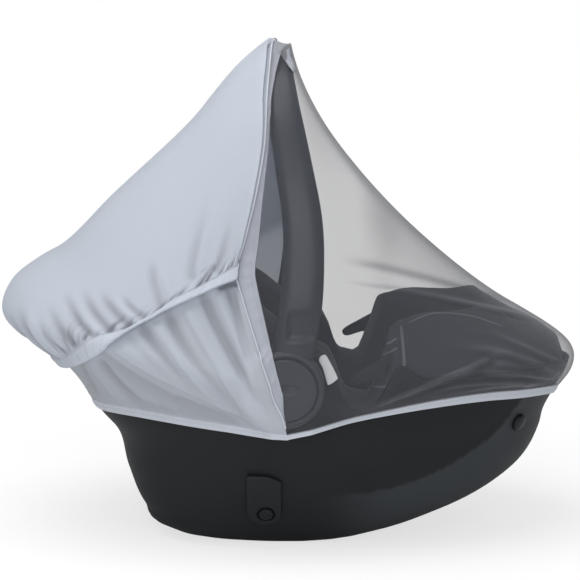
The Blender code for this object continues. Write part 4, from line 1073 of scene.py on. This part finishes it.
def add_mesh_cloth(materials):
    """Sheer foot panel: the skirt surface of the foot end with its pull lines and small creases."""
    rows, columns = MESH_GRID
    places = crowded(rows, 0.0002, 0.9998)[:, None]
    downs = np.linspace(0.001, 1.0, columns)[None, :]
    grid = relaxed(foot_skirt(places, downs), 60)
    outwards = normals(grid)
    lift = pleat_heights(grid, MESH_CREASES) * rim_fade(places, downs)
    hem = np.exp(-((1 - downs) / 0.06)) * smooth_step((1 - downs) / 0.01)
    lift = lift + 0.0007 * gathers(np.broadcast_to(places, lift.shape)) * hem
    grid = grid + outwards * lift[..., None]
    tint = np.clip(np.abs(lift) / MESH_CREASE_DEPTH, 0, 1) ** 1.5
    piece = grid_piece(
        "mesh_cloth", grid, materials["mesh"], arc_lengths(grid), tint, outwards=facing_out(grid)
    )
    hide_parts("mesh_panel")
    return piece


def add_facing_strip(materials):
    """Pale strip between the fold line and the mesh's seam, crowned a little across its width. Over the handle
    it runs on over the mesh as a cap."""
    places = np.linspace(0.02, 1.98, 420)
    left = seam_line(SEAM_NEAR, head_skirt, places)
    right = seam_line(MESH_SEAM_NEAR, foot_skirt, places)
    folded = 1 - np.abs(places - 1)
    capped = smooth_step((folded - CAP_START) / 0.06)
    across = right - left
    width = np.linalg.norm(across, axis=-1, keepdims=True)
    left = left + across / width * np.minimum(0.0006, 0.25 * width)
    share = np.linspace(0, 1, 17)
    grid = left[:, None] + (right - left)[:, None] * share[None, :, None]
    round_it = np.clip((places - KINK) / (2 - 2 * KINK), 0, 1)[:, None]
    past = np.maximum(share - CAP_STRIP, 0)[None, :] / (1 - CAP_STRIP)
    over = foot_skirt(round_it, CAP_REACH * capped[:, None] * past)
    strip = left[:, None] + (right - left)[:, None] * np.minimum(share / CAP_STRIP, 1)[None, :, None]
    over = np.where(share[None, :, None] < CAP_STRIP, strip, over)
    grid = grid + (over - grid) * smooth_step(capped / 0.3)[:, None, None]
    crown = 0.0008 * np.sin(math.pi * share)[None, :, None]
    crumple = 0.0007 * gathers(places / 2)[:, None] * np.sin(math.pi * share)[None, :]
    stand = CAP_STAND_OFF * capped[:, None] * smooth_step(share / 0.2)[None, :]
    grid = grid + normals(grid) * facing_out(grid) * (crown + (crumple + stand)[..., None])
    # Painted shade: the strip darkens up towards the handle's top and away from the fold line, except along the cap's
    # edge by the mesh.
    high = 0.3 * smooth_step((folded - KINK) / 0.1) + 0.35 * smooth_step((folded - 0.74) / 0.14)
    tint = high[:, None] * smooth_step((share + 0.1) / 0.3)[None, :]
    tint *= 1 - 0.75 * capped[:, None] * smooth_step((share - 0.74) / 0.06)[None, :]
    piece = grid_piece(
        "facing_strip",
        grid,
        materials["trim"],
        arc_lengths(grid),
        tint,
        outwards=facing_out(grid),
    )
    wall = piece.modifiers.new("thickness", "SOLIDIFY")
    wall.thickness = CLOTH
    wall.offset = -1
    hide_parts("facing")
    return piece


def add_hem_elastic(materials):
    """Elastic band all round: a flat closed tube along the lower edge, gathered in short waves."""
    sections, lengths = [], []
    for side, heights, band, steps in ((-1, HEAD_HEIGHTS, HEAD_BAND, 360), (1, FOOT_HEIGHTS, FOOT_BAND, 340)):
        places = np.arange(steps) / steps
        places = places if side < 0 else 1 - places
        top = along(heights, places)[..., 1] + HEM_LAP
        tall = along(band, places)[..., 0] + HEM_LAP
        angle = hem_angle(side, places)
        wave = 0.0004 * gathers(places) * smooth_step(np.minimum(places, 1 - places) / 0.03)
        outer, inner = [], []
        for down in np.linspace(0, 1, 8):
            swell = 0.0006 * math.sin(math.pi * down) + wave * math.sin(math.pi * down)
            ring = over_handle(shell_oval(angle, top - down * tall, HEM_STAND + swell))
            outer.append(ring)
            flat = np.linalg.norm(ring[:, :2], axis=1, keepdims=True)
            inside = ring.copy()
            inside[:, :2] *= 1 - BAND_THICKNESS / flat
            inner.append(inside)
        sections.append(np.stack(outer + inner[::-1], axis=1))
    grid = np.concatenate(sections)
    grid = np.concatenate([grid, grid[:1]])
    along_it = np.concatenate([[0.0], np.cumsum(np.linalg.norm(np.diff(grid[:, 0], axis=0), axis=-1))])
    up = np.concatenate([np.linspace(0.0085, 0, 8), np.linspace(0, 0.0085, 8)])
    lengths = (np.broadcast_to(along_it[:, None], grid.shape[:2]), np.broadcast_to(up[None], grid.shape[:2]))
    piece = grid_piece(
        "hem_elastic", grid, materials["elastic"], lengths, np.zeros(grid.shape[:2]), wrap=True
    )
    close_poles(piece)
    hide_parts("hem_binding")
    return piece


PIPING_RADIUS = 0.0009


def add_piping_cord(materials):
    """Fine cord along the fold line: a circle carried along it, its surface wound in a shallow helix."""
    places = np.linspace(0.015, 1.985, 900)
    line = seam_line(SEAM_NEAR, head_skirt, places)
    tangent = np.gradient(line, axis=0)
    tangent /= np.linalg.norm(tangent, axis=1, keepdims=True)
    outwards = np.cross(tangent, np.array([1.0, 0.0, 0.0]))
    outwards *= np.sign(np.sum(outwards * (line - np.array([0.0, 0.0, 0.25])), axis=1))[:, None]
    outwards /= np.linalg.norm(outwards, axis=1, keepdims=True)
    sideways = np.cross(tangent, outwards)
    centre = line + outwards * (PIPING_RADIUS + CLOTH)
    along_it = np.concatenate([[0.0], np.cumsum(np.linalg.norm(np.diff(centre, axis=0), axis=-1))])
    turns = np.arange(10) * 2 * math.pi / 10
    radius = PIPING_RADIUS * (1 + 0.1 * np.sin(along_it[:, None] / 0.0032 * 2 * math.pi + 2 * turns[None, :]))
    taper = np.ones(len(places))
    taper[[0, -1]] = 0.02
    radius = (radius * taper[:, None])[..., None]
    grid = centre[:, None] + radius * (
        np.cos(turns)[None, :, None] * outwards[:, None] + np.sin(turns)[None, :, None] * sideways[:, None]
    )
    lengths = (
        np.broadcast_to(along_it[:, None], grid.shape[:2]),
        np.broadcast_to((PIPING_RADIUS * turns)[None], grid.shape[:2]),
    )
    piece = grid_piece(
        "piping_cord", grid, materials["cord"], lengths, np.zeros(grid.shape[:2]), wrap=True
    )
    close_poles(piece)
    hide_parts("piping")
    return piece


# The seat.

# Crease above the lower band of the bucket in side view: x, height.
BAND_LINE = [
    (-0.3, 0.05),
    (0.0, 0.06),
    (0.048, 0.067),
    (0.114, 0.0765),
    (0.156, 0.0904),
    (0.197, 0.1103),
    (0.239, 0.1402),
    (0.264, 0.1721),
    (0.3, 0.215),
]
SEAT_TURNS = 288
# At the foot end the pad stays so far under the mesh and so low, and its edge is rounded in by so much.
UNDER_MESH, PAD_TOP, PAD_ROUNDING = 0.0045, 0.268, 0.01


def band_share(points):
    """1 below the bucket's crease near the foot end, 0 above it and towards the head end."""
    below = along(BAND_LINE, points[..., 0])[..., 0] - points[..., 2]
    return smooth_step(below / 0.0016 + 0.5) * smooth_step((points[..., 0] - 0.02) / 0.1)


def wall_grid(angle, heights, shares, outwards):
    """Rings of the seat's side: fixed heights, then shares of the way from the last of them to the rim."""
    rim = rim_height(angle)
    rings = [shell_oval(angle, np.full_like(angle, height), outwards) for height in heights]
    rings += [shell_oval(angle, heights[-1] + share * (rim - heights[-1]), outwards) for share in shares]
    return rings


def add_bucket(materials):
    """The bucket: rings of the oval from the flat spot up to the rim, then the inside down to its floor, with a
    pole under and over. The crease over its lower band stands out by up to two millimetres."""
    angle = np.arange(SEAT_TURNS) * 2 * math.pi / SEAT_TURNS
    low = np.concatenate([[0.0, 0.0015, 0.004, 0.007], np.linspace(0.012, 0.145, 34)])
    shares = np.linspace(0, 1, 22)[1:]
    rings = wall_grid(angle, low, shares, 0.0)
    outside = np.array(rings)
    below = along(BAND_LINE, outside[..., 0])[..., 0] - outside[..., 2]
    ridge = 0.0022 * np.exp(-np.abs(below) / 0.009) * smooth_step(outside[..., 0] / 0.1)
    flat = np.linalg.norm(outside[..., :2], axis=-1, keepdims=True)
    outside[..., :2] *= 1 + ridge[..., None] / flat
    inside = np.array(wall_grid(angle, low[8:], shares, -SHELL_WALL)[::-1])
    floor = shell_oval(angle, np.full_like(angle, 0.014), -2 * SHELL_WALL)[None]
    grid = np.concatenate([outside[:1] * [0, 0, 1], outside, inside, floor, floor * [0, 0, 1]])
    # The point attribute marks the lower band, which the bucket's material paints lighter for the light it takes from
    # the floor.
    piece = grid_piece(
        "bucket", grid, materials["bucket"], tint=band_share(grid), wrap=True
    )
    close_poles(piece)
    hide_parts("shell")
    return piece


def pad_lean(at_rim):
    """How far the pad's side leans in for its height: less at the foot end, where it fills the cloth's nose."""
    return PAD_LEAN * (1 - 0.45 * smooth_step((at_rim[:, 0] - 0.25) / 0.05))


def crest_under(cloth, at_rim, rim, top):
    """Height of the pad's crest: towards the foot end it rises until it is UNDER_MESH below the cloth over it, which a
    ray from above finds. A higher crest leans in further, so the ray is cast again."""
    surface = BVHTree.FromObject(cloth, bpy.context.evaluated_depsgraph_get())
    far = np.linalg.norm(at_rim[:, :2], axis=1)
    share = smooth_step((at_rim[:, 0] - 0.225) / 0.04)
    raised = top.copy()
    for _ in range(4):
        inset = PAD_GAP + pad_lean(at_rim) * (raised - rim) + PAD_ROUNDING
        for place in np.flatnonzero(share):
            x, y = at_rim[place, :2] * (1 - inset[place] / far[place])
            hit = surface.ray_cast(Vector((x, y, 0.7)), Vector((0.0, 0.0, -1.0)))[0]
            if hit is not None:
                reach = min(hit.z - UNDER_MESH, PAD_TOP)
                raised[place] = top[place] + share[place] * max(reach - top[place], 0.0)
    return raised


def add_seat_pad(cloth, materials):
    """The padded seat: its side follows the bucket, leans in to a rounded crest, then drops to the hollow's
    floor. Sewn channels run down its inner side."""
    angle = np.arange(SEAT_TURNS) * 2 * math.pi / SEAT_TURNS
    rim = rim_height(angle)
    at_rim = shell_oval(angle, rim)
    top = np.maximum(wall_top(at_rim[:, 0]), rim + 0.006)
    top += 0.007 * smooth_step((at_rim[:, 0] - 0.2) / 0.06)
    top = crest_under(cloth, at_rim, rim, top)
    low = np.array([0.039, 0.06, 0.0765, 0.1, 0.122, 0.145])
    rings = wall_grid(angle, low, np.linspace(0, 1, 8)[1:], -PAD_GAP)
    for share in np.linspace(0.12, 1.0, 9):
        height = rim + share * (top - rim)
        inset = PAD_GAP + pad_lean(at_rim) * (height - rim) + PAD_ROUNDING * smooth_step((share - 0.6) / 0.4) ** 2
        ring = at_rim.copy()
        ring[:, :2] *= (1 - inset / np.linalg.norm(at_rim[:, :2], axis=1))[:, None]
        ring[:, 2] = height
        rings.append(ring)
    crest = rings[-1]
    inner = np.stack(
        [
            np.where(np.cos(angle) > 0, CAVITY_FOOT, CAVITY_HEAD) * power(np.cos(angle), 0.9),
            CAVITY_HALF_WIDTH * power(np.sin(angle), 0.8),
            crest[:, 2] - 0.006,
        ],
        axis=-1,
    )
    for share in (0.2, 0.4, 0.6, 0.8, 1.0):
        rings.append(crest + (inner - crest) * share + np.array([0.0, 0.0, 0.006 * math.sin(math.pi * share)]))
    floor_z = along(SEAT_FLOOR, inner[:, 0])[..., 0]
    channel = 0.0025 * np.abs(np.sin(angle * 9))[:, None]
    for share in np.linspace(0.1, 1.0, 10):
        narrow = 1 - 0.22 * share**2
        ring = inner * np.array([narrow, narrow, 1.0])
        ring[:, :2] += inner[:, :2] / np.linalg.norm(inner[:, :2], axis=1, keepdims=True) * channel * share * -1
        ring[:, 2] += share * (floor_z - inner[:, 2])
        rings.append(ring)
    last = rings[-1]
    for share in (0.7, 0.4, 0.15):
        ring = last * np.array([share, share, 1.0])
        ring[:, 2] = along(SEAT_FLOOR, ring[:, 0])[..., 0] - 0.004
        rings.append(ring)
    middle = np.tile([0.0, 0.0, SEAT_FLOOR[3][1] - 0.001], (len(angle), 1))
    under = rings[0] * np.array([0.9, 0.9, 1.0])
    grid = np.array([under * [0, 0, 1], under, *rings, middle])
    across = np.broadcast_to((angle * 0.25)[None], grid.shape[:2])
    steps = np.linalg.norm(np.diff(grid, axis=0), axis=-1)
    down = np.concatenate([np.zeros((1, len(angle))), np.cumsum(steps, axis=0)])
    piece = grid_piece(
        "seat_pad", grid, materials["lining"], (across, down), np.zeros(grid.shape[:2]), wrap=True
    )
    close_poles(piece)
    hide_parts("liner")
    add_seat_seams(piece, materials)
    return piece


def add_seat_seams(pad, materials):
    """Welted seams: circles carried along smooth lines laid on the near side of the padded seat, where a ray across
    the seat first meets it. Their ends close to a point."""
    surface = BVHTree.FromObject(pad, bpy.context.evaluated_depsgraph_get())
    turns = np.arange(8) * 2 * math.pi / 8
    for number, (radius, rows) in enumerate(SEAT_SEAMS):
        steps = np.linspace(0, len(rows) - 1, 60)
        flat = along(np.column_stack([np.arange(len(rows)), rows]), steps)
        line = []
        for x, z in flat:
            hit = surface.ray_cast(Vector((x, -0.5, z)), Vector((0.0, 1.0, 0.0)))[0]
            if hit is not None:
                line.append(hit)
        line = np.array(line)
        tangent = np.gradient(line, axis=0)
        tangent /= np.linalg.norm(tangent, axis=1, keepdims=True)
        side = np.cross(tangent, [0.0, 1.0, 0.0])
        side /= np.linalg.norm(side, axis=1, keepdims=True)
        out = np.cross(side, tangent)
        size = (radius * np.sqrt(np.clip(1 - np.linspace(-1, 1, len(line)) ** 8, 0.0002, 1)))[:, None, None]
        ring = np.cos(turns)[None, :, None] * side[:, None] + np.sin(turns)[None, :, None] * out[:, None]
        grid = line[:, None] + size * ring
        piece = grid_piece(f"seat_seam_{number}", grid, materials["welt"], wrap=True)
        close_poles(piece)


# Recess in each arm, in side view: its middle, its foot, half its width, its height and its depth.
ARM_RECESS = (0.0115, 0.248, 0.015, 0.03, 0.0035)


def add_grip_arch(materials):
    """The handle: a rounded oval carried from hub to hub, with an arched recess sunk in each arm's outside."""
    steps, around = 260, 48
    places = np.linspace(0, 2, steps)
    columns = along(HANDLE_PATH, 1 - np.abs(places - 1))
    centre = columns[:, :3].copy()
    centre[:, 1] *= np.where(places > 1, -1, 1)
    tangent = np.gradient(centre, axis=0)
    tangent /= np.linalg.norm(tangent, axis=1, keepdims=True)
    wide = np.array([1.0, 0.0, 0.0]) - tangent * tangent[:, :1]
    wide /= np.linalg.norm(wide, axis=1, keepdims=True)
    thick = np.cross(tangent, wide)
    turn = (np.arange(around) + 0.5) * 2 * math.pi / around
    across_wide = columns[:, 3, None] / 2 * power(np.cos(turn), 0.7)[None, :]
    across_thick = columns[:, 4, None] / 2 * power(np.sin(turn), 0.7)[None, :]
    grid = centre[:, None] + wide[:, None] * across_wide[..., None] + thick[:, None] * across_thick[..., None]
    x, low, half, tall, depth = ARM_RECESS
    arched = np.maximum(np.abs(grid[..., 0] - x) / half, np.maximum((grid[..., 2] - low) / tall, 0) ** 2)
    sunk = depth * smooth_step((1 - arched) / 0.14) * smooth_step((grid[..., 2] - low) / 0.002)
    outer = np.abs(grid[..., 1]) > np.abs(centre[:, None, 1]) + 0.002
    grid[..., 1] -= np.sign(grid[..., 1]) * np.where(outer, sunk, 0.0)
    start, end = (np.repeat(row.mean(axis=1, keepdims=True), around, 1) for row in (grid[:1], grid[-1:]))
    grid = np.concatenate([start, grid, end])
    piece = grid_piece("grip_arch", grid, materials["arch"], wrap=True)
    close_poles(piece)
    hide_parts("handle")
    return piece


def teardrop(x, z):
    """Depth of the release recess on a cap: a shallow oval that narrows towards the head end."""
    along_x = (x - HUB_X) / 0.016
    across_z = (z - HUB_Z - 0.001) / (0.0072 * (0.75 + 0.25 * np.clip(along_x, -1, 1)))
    return 0.0014 * smooth_step((1 - np.hypot(along_x, across_z)) / 0.22)


def cap_dent(x, z):
    """The teardrop's depth over the rings of a release cap. The first two rings are its back."""
    depth = teardrop(x, z) * (np.hypot(x - HUB_X, z - HUB_Z) < CAP_RADIUS - 0.0006)
    depth[:2] = 0.0
    return depth


def add_hubs(materials):
    """Hub discs turned with a raised lip, a groove and a sloping face, and a release cap on each."""
    inner, outer = HUB_INNER_Y, HUB_OUTER_Y
    hub = [(0.0, inner), (HUB_RADIUS - 0.001, inner), (HUB_RADIUS, inner + 0.001)]
    hub += [(HUB_RADIUS, outer - 0.0035), (HUB_RADIUS - 0.0008, outer - 0.0014), (HUB_RADIUS - 0.0026, outer - 0.0003)]
    hub += [(HUB_RADIUS - 0.005, outer), (CAP_RADIUS + 0.0022, outer - 0.0002), (CAP_RADIUS + 0.0012, outer - 0.0016)]
    hub += [(CAP_RADIUS - 0.004, outer - 0.0016), (0.0, outer - 0.0016)]
    stand = outer + GAP
    radii = np.linspace(CAP_RADIUS - 0.0012, 0.0, 34)
    cap = [(0.0, stand - 0.0012), (CAP_RADIUS - 0.0005, stand - 0.0012), (CAP_RADIUS, stand - 0.0004)]
    cap += [(CAP_RADIUS, stand + CAP_STAND - 0.0012), (CAP_RADIUS - 0.0004, stand + CAP_STAND - 0.0003)]
    cap += [(r, stand + CAP_STAND - 0.0006 * (1 - (r / CAP_RADIUS) ** 2)) for r in radii]
    for label, side in (("near", -1), ("far", 1)):
        lathe(f"hub_{label}", (HUB_X, HUB_Z), side, hub, materials["grey"])
        piece = lathe(
            f"release_cap_{label}", (HUB_X, HUB_Z), side, cap, materials["grey"], dent=cap_dent
        )
        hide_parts(f"hub_cap_{label}")


def smooth_outline(points, count):
    """A closed outline through the points, on a smooth curve."""
    points = np.asarray(points, float)
    wrapped = np.concatenate([points[-2:], points, points[:3]])
    rows = np.column_stack([np.arange(len(wrapped)) - 2.0, wrapped])
    places = np.linspace(0, len(points), count, endpoint=False)
    return along(rows, places)


def add_prism(name, outline, inner_y, outer_y, material, bevel):
    """A flat plate: the outline at its inner plane and at its outer plane, whose edge is rounded inwards by
    scaling the outline towards its middle over four small steps."""
    middle = outline.mean(axis=0)
    depth = outer_y - inner_y
    rounding = np.linspace(0, math.pi / 2, 5)
    stations = [(1.0, 0.0)]
    size = np.linalg.norm(outline - middle, axis=1).mean()
    stations += [(1 - bevel / size * (1 - math.cos(r)), 1 - abs(bevel / depth) * (1 - math.sin(r))) for r in rounding]
    rings = []
    for scale, rise in [(0.0, 0.0), *stations, (0.0, 1.0)]:
        ring = middle + (outline - middle) * scale
        rings.append(np.stack([ring[:, 0], np.full(len(ring), inner_y + depth * rise), ring[:, 1]], axis=-1))
    piece = grid_piece(name, np.array(rings), material, wrap=True)
    close_poles(piece)
    piece.data.set_sharp_from_angle(angle=math.radians(50))
    return piece


def add_side_details(materials):
    """Belt hooks and blank plate."""
    hook = smooth_outline(HOOK_OUTLINE, 64)
    for label, side in (("near", -1), ("far", 1)):
        inner, outer = side * HOOK_INNER_Y, side * HOOK_OUTER_Y
        piece = add_prism(f"hook_{label}", hook, inner, outer, materials["catch"], 0.0012)
        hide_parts(f"belt_hook_{label}")
    plate = smooth_outline(PLATE_OUTLINE, 64)
    outer = -PLATE_INNER_Y - PLATE_THICKNESS
    piece = add_prism("blank_plate", plate, -PLATE_INNER_Y, outer, materials["pale"], 0.001)
    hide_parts("side_plate")


def turned_on_axis(name, centre, axis, profile, material, sides=72):
    """A turned piece on any axis: profile's radius and rise carried round it."""
    axis = np.asarray(axis, float) / np.linalg.norm(axis)
    aside = np.cross(axis, [1.0, 0.0, 0.0])
    aside /= np.linalg.norm(aside)
    third = np.cross(axis, aside)
    turns = np.arange(sides) * 2 * math.pi / sides
    profile = np.asarray(profile, float)
    ring = np.cos(turns)[:, None] * aside + np.sin(turns)[:, None] * third
    grid = np.asarray(centre) + profile[:, 0, None, None] * ring + profile[:, 1, None, None] * axis
    piece = grid_piece(name, grid, material, wrap=True)
    close_poles(piece)
    return piece


def add_snap_studs(materials):
    """Snap studs: a short rim under a dome, a quarter of an oval turned on an axis square to the shell's side."""
    front, half = along(SHELL_SECTIONS, np.array([STUD_HEIGHT]))[0][1:]
    angle = math.acos(STUD_X / front)
    r, d = STUD_RADIUS, STUD_DEPTH
    profile = [(0, -STUD_STAND), (r, -STUD_STAND), (r, d * 0.22), (r * 0.985, d * 0.34)]
    profile += [(r * math.cos(t), d * (0.34 + 0.66 * math.sin(t))) for t in np.linspace(0.2, math.pi / 2, 12)]
    for label, side in (("near", -1), ("far", 1)):
        centre = shell_oval(np.array([side * angle]), np.array([STUD_HEIGHT]), 0.0)[0]
        outwards = Vector((math.cos(angle) / front, side * math.sin(angle) / half, -STUD_DROOP)).normalized()
        centre = centre + STUD_STAND * np.array(outwards)
        piece = turned_on_axis(f"stud_{label}", centre, outwards, profile, materials["catch"])
        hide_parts(f"snap_stud_{label}")


def add_catch_plates(materials):
    """Catch plates: rays from the recess's middle to the rounded outline, over the recess's floor, its wall and
    the plate's face, with a turned eight-sided knob in the recess."""
    half = CATCH_WIDTH / 2
    down = np.array([0.0, CATCH_SLOPE, -1.0])
    down /= np.linalg.norm(down)
    out = np.array([0.0, -1.0, -CATCH_SLOPE])
    out /= np.linalg.norm(out)
    turns = np.linspace(0, math.pi, 33)
    outline = [(-half, 0.0), (-half * 0.3, 0.0004), (half * 0.3, 0.001), (half, 0.008)]
    outline += [(half * math.cos(t), CATCH_LENGTH - half + half * math.sin(t)) for t in turns]
    outline = np.array(outline)
    knob = np.array([0.002, KNOB_DOWN])
    count = 144
    edges = np.concatenate([outline, outline[:1]])
    turn = np.arange(count) * 2 * math.pi / count
    ray = np.stack([np.cos(turn), np.sin(turn)], axis=-1)
    reach = np.full(count, 1e9)
    for first, second in zip(edges[:-1], edges[1:]):
        side = second - first
        cross = ray[:, 0] * side[1] - ray[:, 1] * side[0]
        cross = np.where(np.abs(cross) < 1e-12, 1e-12, cross)
        away = first - knob
        distance = (away[0] * side[1] - away[1] * side[0]) / cross
        share = (away[0] * ray[:, 1] - away[1] * ray[:, 0]) / cross
        reach = np.where((distance > 0) & (share >= -1e-9) & (share <= 1 + 1e-9), np.minimum(reach, distance), reach)
    floor = CATCH_DEPTH - RECESS_DEPTH
    lip = RECESS_RADIUS + 0.0008
    rings = [(0.0, floor), (RECESS_RADIUS - 0.0008, floor), (RECESS_RADIUS - 0.0002, floor + 0.0006)]
    rings += [(RECESS_RADIUS, CATCH_DEPTH - 0.0008), (lip, CATCH_DEPTH)]
    grid = [knob + radius * ray for radius, _ in rings]
    rise = [np.full(count, height) for _, height in rings]
    face = [(0.5, CATCH_DEPTH), (0.92, CATCH_DEPTH), (0.97, CATCH_DEPTH - 0.0005), (1.0, CATCH_DEPTH - 0.0018)]
    for share, height in (*face, (1.0, 0.0), (0.0, 0.0)):
        start = lip if share else 0.0
        grid.append(knob + (start + (np.maximum(reach, start) - start) * share)[:, None] * ray)
        rise.append(np.full(count, height))
    flat, rise = np.array(grid), np.array(rise)
    for label, side in (("near", -1), ("far", 1)):
        mirror = np.array([1.0, -side, 1.0])
        start = np.array([CATCH_X, -CATCH_TOP_Y, CATCH_TOP_Z])
        points = start + flat[..., :1] * np.array([1.0, 0, 0]) + flat[..., 1:] * down + rise[..., None] * out
        piece = grid_piece(f"catch_{label}", points * mirror, materials["catch"], wrap=True)
        close_poles(piece)
        piece.data.set_sharp_from_angle(angle=math.radians(40))
        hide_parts(f"base_catch_{label}")
        axis = out * mirror
        centre = (start + down * KNOB_DOWN + np.array([0.002, 0, 0]) + out * (floor + GAP)) * mirror
        tall = RECESS_DEPTH + 0.0005
        r = KNOB_RADIUS
        profile = [(0, 0), (r, 0), (r, tall - 0.0012), (r - 0.0005, tall - 0.0004), (r - 0.0013, tall)]
        profile += [(r * 0.55, tall), (r * 0.48, tall - 0.0008), (0, tall - 0.0008)]
        piece = turned_on_axis(f"knob_{label}", centre, axis, profile, materials["catch"], sides=8)
        piece.data.set_sharp_from_angle(angle=math.radians(30))
        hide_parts(f"catch_knob_{label}")


# Camera, light and floor.


LENS, SENSOR = 116.3, 36.0
LOOK_AT, LOOK_DOWN_DEGREES, LOOK_FROM = (0.0, 0.0, 0.276), 7.0, 2.2
ROOM_LIGHT = 0.46
# Lamps: name, place, what they face, size and power.
LAMPS = [
    ("top_lamp", (-0.45, -0.6, 2.4), (0.0, 0.0, 0.2), 1.9, 46.0),
    ("front_lamp", (-0.2, -2.6, 1.1), (0.0, 0.0, 0.25), 1.5, 24.0),
]
FLOOR_REACH = 7.0
# The floor's glow over the distance from the seat.
FLOOR_GLOW = {"From Min": 0.38, "From Max": 0.85, "To Min": 0.7, "To Max": 1.0}


def add_camera():
    data = bpy.data.cameras.new("view_camera")
    data.lens = LENS
    data.sensor_width = SENSOR
    camera = bpy.data.objects.new("view_camera", data)
    target, lift = Vector(LOOK_AT), math.radians(LOOK_DOWN_DEGREES)
    camera.location = target + LOOK_FROM * Vector((0.0, -math.cos(lift), math.sin(lift)))
    camera.rotation_mode = "QUATERNION"
    camera.rotation_quaternion = (target - camera.location).to_track_quat("-Z", "Y")
    bpy.context.scene.collection.objects.link(camera)
    bpy.context.scene.camera = camera


def add_light(name, place, target, size, power_watts):
    data = bpy.data.lights.new(name, "AREA")
    data.size = size
    data.energy = power_watts
    light = bpy.data.objects.new(name, data)
    light.location = place
    light.rotation_mode = "QUATERNION"
    light.rotation_quaternion = (Vector(target) - Vector(place)).to_track_quat("-Z", "Y")
    bpy.context.scene.collection.objects.link(light)


def add_studio():
    """White surroundings that light the seat at half their brightness, a broad lamp over it and one in front, and
    a pale floor that glows where it is far away, so that no horizon shows."""
    world = bpy.data.worlds.new("white_room")
    world.use_nodes = True
    tree = world.node_tree
    back = tree.nodes["Background"]
    back.inputs["Color"].default_value = (1.0, 1.0, 1.0, 1.0)
    path = tree.nodes.new("ShaderNodeLightPath")
    strength = maths(tree, "MULTIPLY_ADD", path.outputs["Is Camera Ray"], 1 - ROOM_LIGHT, ROOM_LIGHT)
    tree.links.new(strength, back.inputs["Strength"])
    bpy.context.scene.world = world
    for lamp in LAMPS:
        add_light(*lamp)
    bpy.context.scene.view_settings.view_transform = "Standard"
    mesh = bpy.data.meshes.new("floor")
    corners = [(FLOOR_REACH * x, FLOOR_REACH * y, 0) for x, y in ((-1, -1), (1, -1), (1, 1), (-1, 1))]
    mesh.from_pydata(corners, [], [(0, 1, 2, 3)])
    material, tree, shader, coordinates = new_material("pale_floor", 0.9, 0.1)
    noise = tree.nodes.new("ShaderNodeTexNoise")
    noise.inputs["Scale"].default_value = 3
    tree.links.new(coordinates.outputs["Object"], noise.inputs["Vector"])
    pale = mixed_colour(tree, noise.outputs[0], (0.9, 0.9, 0.9), (0.92, 0.92, 0.92))
    away = tree.nodes.new("ShaderNodeVectorMath")
    away.operation = "LENGTH"
    tree.links.new(coordinates.outputs["Object"], away.inputs[0])
    glow = tree.nodes.new("ShaderNodeMapRange")
    glow.interpolation_type = "SMOOTHSTEP"
    for label, value in FLOOR_GLOW.items():
        glow.inputs[label].default_value = value
    tree.links.new(away.outputs["Value"], glow.inputs["Value"])
    path = tree.nodes.new("ShaderNodeLightPath")
    seen = maths(tree, "MULTIPLY", glow.outputs[0], path.outputs["Is Camera Ray"])
    tree.links.new(mixed_colour(tree, seen, pale, (0.0, 0.0, 0.0)), shader.inputs["Base Color"])
    shader.inputs["Emission Color"].default_value = (1.0, 1.0, 1.0, 1.0)
    tree.links.new(seen, shader.inputs["Emission Strength"])
    mesh.materials.append(material)
    floor = bpy.data.objects.new("floor", mesh)
    bpy.context.scene.collection.objects.link(floor)


def main():
    materials = all_materials()
    add_camera()
    add_studio()
    rear = add_rear_cloth(materials)
    flap = add_flap_cloth(materials)
    mesh = add_mesh_cloth(materials)
    facing = add_facing_strip(materials)
    hem = add_hem_elastic(materials)
    cord = add_piping_cord(materials)
    add_bucket(materials)
    add_seat_pad(mesh, materials)
    add_grip_arch(materials)
    add_hubs(materials)
    add_side_details(materials)
    add_snap_studs(materials)
    add_catch_plates(materials)


main()
bpy.context.view_layer.update()
